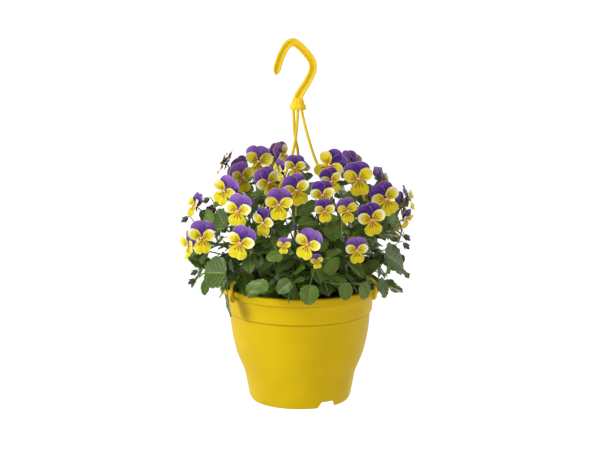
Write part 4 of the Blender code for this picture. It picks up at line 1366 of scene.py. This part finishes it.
def make_petal(petal, ruffle, phase):
    """One petal of a flower that faces -Y with its throat at 0."""
    sheet = round_sheet("petal", PETAL_CELLS)
    x, y, _ = coordinates(sheet)
    share = (1 + y) / 2
    neck = petal.neck + (1 - petal.neck) * np.sin(math.pi / 2 * np.minimum(1, share / 0.6))
    side = x * neck * (1 + petal.flare * np.maximum(0, share - 0.6) ** 2) * petal.width / 2
    lower = petal.angle == 180
    dent = 0.075 * np.exp(-(x / 0.15) ** 2) * share ** 6 if lower else 0.0
    distance = (HUB_RADIUS + petal.length) * share * (1 - dent)
    t = np.clip((distance - HUB_RADIUS) / petal.length, 0, 1)
    edge = x * x + y * y
    forward = petal.layer * np.minimum(1, t / 0.3) + petal.lean * t * t
    forward += petal.cup * np.abs(x) ** 2 * t * 1.6
    ruffle *= 1.6 if lower else 1.0
    forward += ruffle * edge ** 2 * np.sin(np.arctan2(x, y + 0.3) * 5 + phase)
    forward += ruffle * 0.6 * edge * np.sin(x * 4 + phase * 2.3)
    if lower:
        forward -= 1.4 * np.exp(-(x / 0.22) ** 2) * t
    turn = math.radians(petal.angle + petal.swing)
    move_corners(
        sheet, math.sin(turn) * distance + math.cos(turn) * side, -forward,
        math.cos(turn) * distance - math.sin(turn) * side,
    )
    paint(sheet, "cream", 0.0 if lower or petal.violet else 1.0)
    return sheet


def varied(petal, draw):
    """A petal with small differences of its own."""
    return petal._replace(
        swing=petal.swing + draw.uniform(-5, 5), width=petal.width * draw.uniform(0.94, 1.10),
        lean=petal.lean + draw.uniform(-1.8, 1.8), cup=petal.cup * draw.uniform(0.4, 1.6),
    )


def ball(name, place, scale, nod=0.0):
    """A small rounded body, tipped by nod degrees."""
    made = started(name, bpy.ops.mesh.primitive_uv_sphere_add, segments=12, ring_count=8, radius=1.0)
    turn = Matrix.Rotation(math.radians(nod), 4, "X")
    made.data.transform(Matrix.Translation(place) @ turn @ Matrix.Diagonal((*scale, 1.0)))
    return made


def make_beard(draw):
    """Two tufts of pale hairs over the throat, one on each side of where the stigma sits."""
    routes, radii = [], []
    for side in (-1, 1):
        for _ in range(9):
            spread, proud, lift = draw.uniform(1.2, 2.4), draw.uniform(0, 0.5), draw.uniform(0.2, 1.8)
            root = Vector((side * spread, -1.9 - proud, lift))
            fall = Vector((0, draw.uniform(0.9, 1.5), draw.uniform(0.5, 1.4)))
            tip = Vector((side * draw.uniform(0.3, 0.8), root.y, root.z)) - fall
            middle = root.lerp(tip, 0.5) - Vector((0, 0.4, 0))
            routes.append([root, middle, tip])
            radii.append([0.30, 0.26, 0.10])
    return drawn_curve("beard", routes, radii, sides=1)


def make_flower(number, finishes):
    """One flower shape, as its violet piece and its yellow piece."""
    draw = random.Random(SEED + 10 + number)
    petals = {True: [], False: []}
    for petal in PETALS:
        own = varied(petal, draw)
        petals[petal.violet].append(make_petal(own, draw.uniform(0.4, 1.0), draw.uniform(0, math.tau)))
    halves = []
    for violet, name in ((True, "violet"), (False, "yellow")):
        half = joined(name, petals[violet])
        for entry in finishes[name]:
            half.data.materials.append(entry)
        thicken(half, PETAL_THICKNESS)
        halves.append(half)
    spur = ball("spur", Vector((0, 4.0, -2.2)), (1.5, 4.6, 1.6), 14.0)
    spur.data.materials.append(finishes["spur"])
    hub = ball("hub", Vector((0, 0.2, 0)), (2.3, 1.9, 2.3))
    hub.data.materials.append(finishes["throat"])
    beard = make_beard(draw)
    beard.data.materials.append(finishes["beard"])
    stigma = ball("stigma", Vector((0, -2.2, -0.2)), (0.75, 0.75, 0.85))
    stigma.data.materials.append(finishes["beard"])
    violet = joined("violet", [halves[0], spur])
    yellow = joined("yellow", [halves[1], hub, beard, stigma])
    for half in (violet, yellow):
        smooth(half, 60.0)
    return violet, yellow


def bloom_place(bloom):
    """Where a flower stands, how it is turned and its size."""
    return Matrix.LocRotScale(bloom.place, bloom.turn.to_quaternion(), [bloom.size] * 3)


def make_flowers(blooms, finishes):
    """Every flower of the plan, from the few flower shapes."""
    shapes = [make_flower(number, finishes) for number in range(FLOWER_SHAPES)]
    draw = random.Random(SEED + 3)
    for number, bloom in enumerate(blooms):
        label = "%02d" % (number + 1)
        tone, cream = draw.random(), draw.uniform(0.1, 1.5)
        place = bloom_place(bloom)
        for half, name in zip(shapes[number % FLOWER_SHAPES], ("violet", "yellow")):
            piece = copy_of(half)
            piece.data.transform(place)
            paint(piece, "tone", tone)
            if name == "yellow":
                layer = piece.data.attributes["cream"].data
                flat = np.zeros(len(layer))
                layer.foreach_get("value", flat)
                layer.foreach_set("value", flat * cream)
            finished(piece, name + "_petals_" + label, ["bloom_" + label])
    for shape in shapes:
        for half in shape:
            bpy.data.objects.remove(half, do_unlink=True)


# Leaves and stems

LEAF_CELLS = 14
FILL_CELLS = 5
LEAF_THICKNESS = 0.5
TEETH = 15
SMALL_TEETH = 9


def make_leaf_sheet(cells, teeth):
    """A leaf from its foot at 0 to its tip at 1 along Y, with half its width as 1 along X."""
    sheet = round_sheet("leaf", cells)
    x, y, _ = coordinates(sheet)
    edge = np.sqrt(x * x + y * y)
    round_way = np.arctan2(x, y)
    tooth = 1 + 0.11 * (np.abs(np.cos(teeth * round_way / 2)) - 0.6) * edge ** 6
    side = x * (1 - 0.20 * y) * tooth
    along = 0.5 + 0.5 * y * tooth - 0.16 * np.abs(x) * np.clip(-y, 0, 1)
    lift = 0.34 * np.abs(x) - 0.20 * x * x - 0.05 * (np.abs(x) < 0.02) * (1 - 0.5 * along)
    lift += 0.030 * np.cos(math.tau * 5.0 * (along - 0.3 * np.abs(x))) * np.minimum(1, np.abs(x) * 3)
    move_corners(sheet, side, along, lift)
    return sheet


def place_leaf(sheet, leaf, draw):
    """A copy of a leaf sheet at its place, with its own bend and ruffle."""
    made = copy_of(sheet)
    side_share, along, lift = coordinates(made)
    half = leaf.width / 2
    phase, ruffle, twist = draw.uniform(0, math.tau), draw.uniform(0.05, 0.18), draw.uniform(-0.25, 0.25)
    rise = half * lift - leaf.bend * along ** 2
    rise = rise + half * ruffle * np.sin(along * 9 + phase + np.sign(side_share)) * side_share ** 2
    rise = rise + half * twist * side_share * along
    side = np.array(leaf.along.cross(leaf.face).normalized())
    places = (
        np.array(leaf.base)[:, None] + np.array(leaf.along)[:, None] * leaf.length * along
        + side[:, None] * half * side_share + np.array(leaf.face)[:, None] * rise
    )
    move_corners(made, *places)
    paint(made, "tone", draw.random())
    return made


def sepal_sheet(wide, long):
    """A pointed sepal from 0 to 1 along Y, in a few cells each way."""
    sheet = started(
        "sepal", bpy.ops.mesh.primitive_grid_add, x_subdivisions=wide, y_subdivisions=long, size=2.0
    )
    x, y, _ = coordinates(sheet)
    along = (1 + y) / 2
    width = 0.18 * np.sin(math.pi * np.clip(along * 0.86 + 0.14, 0, 1)) ** 0.8 + 0.004
    move_corners(sheet, x * width, along, -0.05 * (1 - np.abs(x)) + 0.10 * along ** 2)
    return sheet


def turned_to(along, face):
    """The rotation that lays a sheet's Y along a way and turns its Z to a face square to it."""
    return Matrix((along.cross(face), along, face)).transposed().to_4x4()


def place_sepals(sheet, place, foot, tip):
    """A star of five sepals; foot and tip are each a distance out and a distance forward."""
    parts = []
    for number in range(5):
        start, end = clock(72 + 72 * number, *foot), clock(72 + 72 * number, *tip)
        along = (end - start).normalized()
        turn = turned_to(along, squared(Vector((0, -1, 0)), along))
        part = copy_of(sheet)
        reach = Matrix.Scale((end - start).length, 4)
        part.data.transform(place @ Matrix.Translation(start) @ turn @ reach)
        paint(part, "tone", 0.2 + 0.15 * number)
        parts.append(part)
    return parts


def bud_place(bud):
    """Where a bud stands; it points along its own -Y."""
    return Matrix.LocRotScale(bud.place, bud.along.to_track_quat("-Y", "Z"), [1.0] * 3)


def make_buds(buds, materials):
    """Furled buds: pointed ovals with the petals wrapped round them in low ridges."""
    pattern = started(
        "bud", bpy.ops.mesh.primitive_uv_sphere_add, segments=15, ring_count=8, radius=1.0
    )
    x, y, z = coordinates(pattern)
    along = (1 + z) / 2
    wrap = 1 + 0.14 * np.cos(5 * np.arctan2(y, x) + 3.0 * along)
    girth = 3.4 * (1 - 0.45 * along ** 2) * wrap
    move_corners(pattern, x * girth, -along * BUD_LENGTH, y * girth)
    outward(pattern)
    parts = []
    for bud in buds:
        part = copy_of(pattern)
        part.data.transform(bud_place(bud))
        parts.append(part)
    bpy.data.objects.remove(pattern, do_unlink=True)
    whole = joined("buds", parts)
    smooth(whole, 60.0)
    return finished(whole, "viola_buds", [], materials)


def make_stipule(sheet):
    """A feathery stipule: one long lobe with two short ones on each side."""
    parts = []
    for angle, size, foot in (
        (0, 1.0, 0.0), (32, 0.45, 0.10), (-32, 0.45, 0.14), (26, 0.40, 0.34), (-26, 0.38, 0.38),
    ):
        part = copy_of(sheet)
        turn = Matrix.Rotation(math.radians(angle), 4, "Z")
        part.data.transform(Matrix.Translation((0, foot, 0)) @ turn @ Matrix.Scale(size, 4))
        parts.append(part)
    return joined("stipule", parts)


def place_stipules(stipule, stem, draw):
    """Pairs of stipules at a stem's leaf sites."""
    parts = []
    for t in LEAF_SITES[:3]:
        root, ahead = leaf_site(stem, t)
        spread = squared(Vector((draw.uniform(-1, 1), draw.uniform(-1, 1), 0.1)), ahead)
        for way in (-1, 1):
            along = (ahead * 0.9 + spread * way).normalized()
            turn = turned_to(along, squared(ahead * -0.4 + spread * way, along))
            part = copy_of(stipule)
            part.data.transform(Matrix.Translation(root) @ turn @ Matrix.Scale(draw.uniform(9, 15), 4))
            paint(part, "tone", draw.random())
            parts.append(part)
    return parts


STEM_RINGS = 15

# Radii from the foot to the tip
STEM_RADII = (1.35, 0.85)
BUD_STALK_RADII = (0.75, 0.60)
PETIOLE_RADII = (0.80, 0.72, 0.66, 0.62, 0.62, 0.40)


def stem_line(curve, foot, tip):
    """A stem's route, and its radii from its foot to its tip."""
    steps = [number / (STEM_RINGS - 1) for number in range(STEM_RINGS)]
    return [curve_point(curve, t) for t in steps], [foot + (tip - foot) * t for t in steps]


def petiole_line(leaf):
    """A petiole's route and its radii."""
    middle = leaf.root.lerp(leaf.base, 0.5) - UP * 0.08 * (leaf.base - leaf.root).length
    inner = leaf.base + leaf.along * leaf.length * 0.10 + leaf.face * 0.1
    route = [
        leaf.root.lerp(middle, t).lerp(middle.lerp(leaf.base, t), t) for t in (0.0, 0.25, 0.5, 0.75, 1.0)
    ] + [inner]
    return route, PETIOLE_RADII


def make_plant(plant, blooms, buds, stems, leaves, fill, sheets, finishes):
    """One plant: crown, stems, petioles, leaves, stipules and sepals, as one piece."""
    draw = random.Random(SEED + 20 + plant)
    own = [stem for stem in stems if stem.plant == plant]
    lines = [stem_line(stem.curve, *STEM_RADII) for stem in own]
    lines += [petiole_line(leaf) for leaf, owner in leaves + fill if owner == plant]
    lines += [stem_line(bud.curve, *BUD_STALK_RADII) for bud in buds if bud.plant == plant]
    stalks = drawn_curve("stalks", [route for route, _ in lines], [radii for _, radii in lines], sides=2)
    stalks.data.materials.append(finishes["stem"])
    crown = started(
        "crown", bpy.ops.mesh.primitive_cylinder_add,
        vertices=16, radius=CROWN_RADIUS, depth=CROWN_TOP - CROWN_FOOT,
        location=polar(PLANT_RING, plant_angles()[plant], (CROWN_TOP + CROWN_FOOT) / 2),
    )
    apply_modifier(
        crown, "BEVEL", width=1.5, segments=3, limit_method="ANGLE", angle_limit=math.radians(40)
    )
    crown.data.materials.append(finishes["stem"])

    blades = [place_leaf(sheets["leaf"], leaf, draw) for leaf, owner in leaves if owner == plant]
    blades += [place_leaf(sheets["small"], leaf, draw) for leaf, owner in fill if owner == plant]
    for bud in buds:
        if bud.plant == plant:
            blades += place_sepals(sheets["sepal"], bud_place(bud), (1.6, 0.3), (5.4, 8.0))
    for stem in own:
        if stem.bloom is not None:
            place = bloom_place(blooms[stem.bloom])
            blades += place_sepals(sheets["sepal"], place, (0.8, -3.4), (11.5, -7.6))
        blades += place_stipules(sheets["stipule"], stem, draw)
    blade = joined("blades", blades)
    for entry in (finishes["leaf"], finishes["leaf_back"]):
        blade.data.materials.append(entry)
    thicken(blade, LEAF_THICKNESS)
    whole = joined("plant", [blade, stalks, crown])
    smooth(whole, 60.0)
    return finished(whole, "viola_plant_%d" % (plant + 1), ["leafy_stems_%d" % (plant + 1)])


# Camera, light and floor

VIEW_DISTANCE = 4.0
VIEW_ELEVATION = math.radians(12.0)
VIEW_ABOVE_RIM = 82.5
SENSOR_WIDTH = 36.0
IMAGE_WIDTH = 600.0
FOCAL_LENGTH_IN_PIXELS = 2807.0
LENS = SENSOR_WIDTH * FOCAL_LENGTH_IN_PIXELS / IMAGE_WIDTH
FLOOR_DROP = 0.75


def make_camera():
    """The camera at the photograph's viewing angle."""
    target = INTO_FRAME @ at(0, 0, VIEW_ABOVE_RIM)
    back = Vector((0, -math.cos(VIEW_ELEVATION), math.sin(VIEW_ELEVATION)))
    bpy.ops.object.camera_add(location=target + back * VIEW_DISTANCE)
    camera = bpy.context.object
    camera.rotation_mode = "QUATERNION"
    camera.rotation_quaternion = (-back).to_track_quat("-Z", "Y")
    camera.data.lens = LENS
    camera.data.sensor_width = SENSOR_WIDTH
    bpy.context.scene.camera = camera


def make_light(name, place, size, power, colour):
    """A square soft light that faces the basket."""
    goal = INTO_FRAME @ at(0, 0, 40)
    bpy.ops.object.light_add(type="AREA", location=place)
    light = bpy.context.object
    light.name = name
    light.data.size = size
    light.data.energy = power
    light.data.color = colour
    light.rotation_mode = "QUATERNION"
    light.rotation_quaternion = (goal - light.location).to_track_quat("-Z", "Y")


def make_studio():
    """A white surround, four soft lights and a pale floor far below that glows: painted light, dim near the
    basket and full white further out.
    """
    world = bpy.context.scene.world or bpy.data.worlds.new("studio")
    bpy.context.scene.world = world
    world.use_nodes = True
    background = world.node_tree.nodes["Background"]
    background.inputs["Color"].default_value = (1.0, 1.0, 1.0, 1.0)
    background.inputs["Strength"].default_value = 0.22
    make_light("key", (-2.0, -0.95, 0.45), 1.0, 41.0, (0.97, 1.0, 0.95))
    make_light("top", (-0.3, -0.6, 1.6), 0.9, 12.0, (1.0, 1.0, 1.0))
    make_light("fill", (1.5, -1.6, 0.2), 1.1, 9.0, (1.0, 0.80, 0.48))
    make_light("back", (1.2, 2.0, 0.9), 1.2, 30.0, (1.0, 1.0, 1.0))
    place = (0, 0, CAD_BOX[0].z - FLOOR_DROP)
    floor = started("floor", bpy.ops.mesh.primitive_plane_add, size=60.0, location=place)
    finish = Finish("glowing_floor", {
        "Base Color": (0.68, 0.68, 0.68), "Roughness": 0.9, "Emission Strength": 0.95,
    })
    # The floor glows though it is no lamp: painted light whose glow is dim under the basket and rises to
    # white past about two metres
    distance = finish.add("ShaderNodeVectorMath", {"operation": "LENGTH"}, {0: finish.place()}, "Value")
    glow = finish.mix(distance.rise(1.9, 2.5), (0.17, 0.17, 0.17), (1.0, 1.0, 1.0))
    finish.set({"Emission Color": glow})
    floor.data.materials.append(finish.material)
    bpy.context.scene.view_settings.view_transform = "Standard"


def main():
    """Makes every piece round the frame."""
    make_camera()
    make_studio()
    pot_yellow = plastic_finish("pot_plastic", POT_BRIGHT, POT_DEEP, 0.42, POT_SHADED_CREASES)
    hanger_yellow = plastic_finish("hanger_plastic", HANGER_BRIGHT, HANGER_DEEP, 0.34)
    make_pot([pot_yellow])
    make_soil([soil_finish(), chip_finish()])
    make_hook([hanger_yellow])
    for name in CLIP_ANGLES:
        make_strand(name, [hanger_yellow])

    blooms, stems, leaves = plan()
    space = fine_space(blooms, stems, leaves)
    buds = plan_buds(space, stems)
    fill = plan_fill(space, stems)
    finishes = {
        "violet": [
            violet_finish("violet_petal", VIOLET_DEEP, VIOLET_LIGHT),
            violet_finish("violet_petal_back", VIOLET_BACK_DEEP, VIOLET_BACK_LIGHT),
        ],
        "yellow": [yellow_finish("yellow_petal", 0.0), yellow_finish("yellow_petal_back", 0.18)],
        "spur": plain_finish("spur", (0.14, 0.08, 0.20), (0.20, 0.19, 0.08), 300.0, 0.55),
        "throat": plain_finish("throat", (0.70, 0.30, 0.01), (0.45, 0.12, 0.01), 700.0, 0.6),
        "beard": plain_finish("beard", (0.86, 0.78, 0.50), (0.90, 0.86, 0.70), 900.0, 0.6),
    }
    make_flowers(blooms, finishes)
    make_buds(buds, [bud_finish()])
    greens = {
        "stem": stem_finish(),
        "leaf": leaf_finish("leaf_green", LEAF_DARK, LEAF_LIGHT, LEAF_VEIN, 0.34),
        "leaf_back": leaf_finish("leaf_back", BACK_DARK, BACK_LIGHT, BACK_VEIN, 0.60),
    }
    lobe = sepal_sheet(1, 3)
    sheets = {
        "leaf": make_leaf_sheet(LEAF_CELLS, TEETH),
        "small": make_leaf_sheet(FILL_CELLS, SMALL_TEETH),
        "sepal": sepal_sheet(2, 6),
        "stipule": make_stipule(lobe),
        "lobe": lobe,
    }
    for plant in range(PLANT_COUNT):
        make_plant(plant, blooms, buds, stems, leaves, fill, sheets, greens)
    for sheet in sheets.values():
        bpy.data.objects.remove(sheet, do_unlink=True)


main()
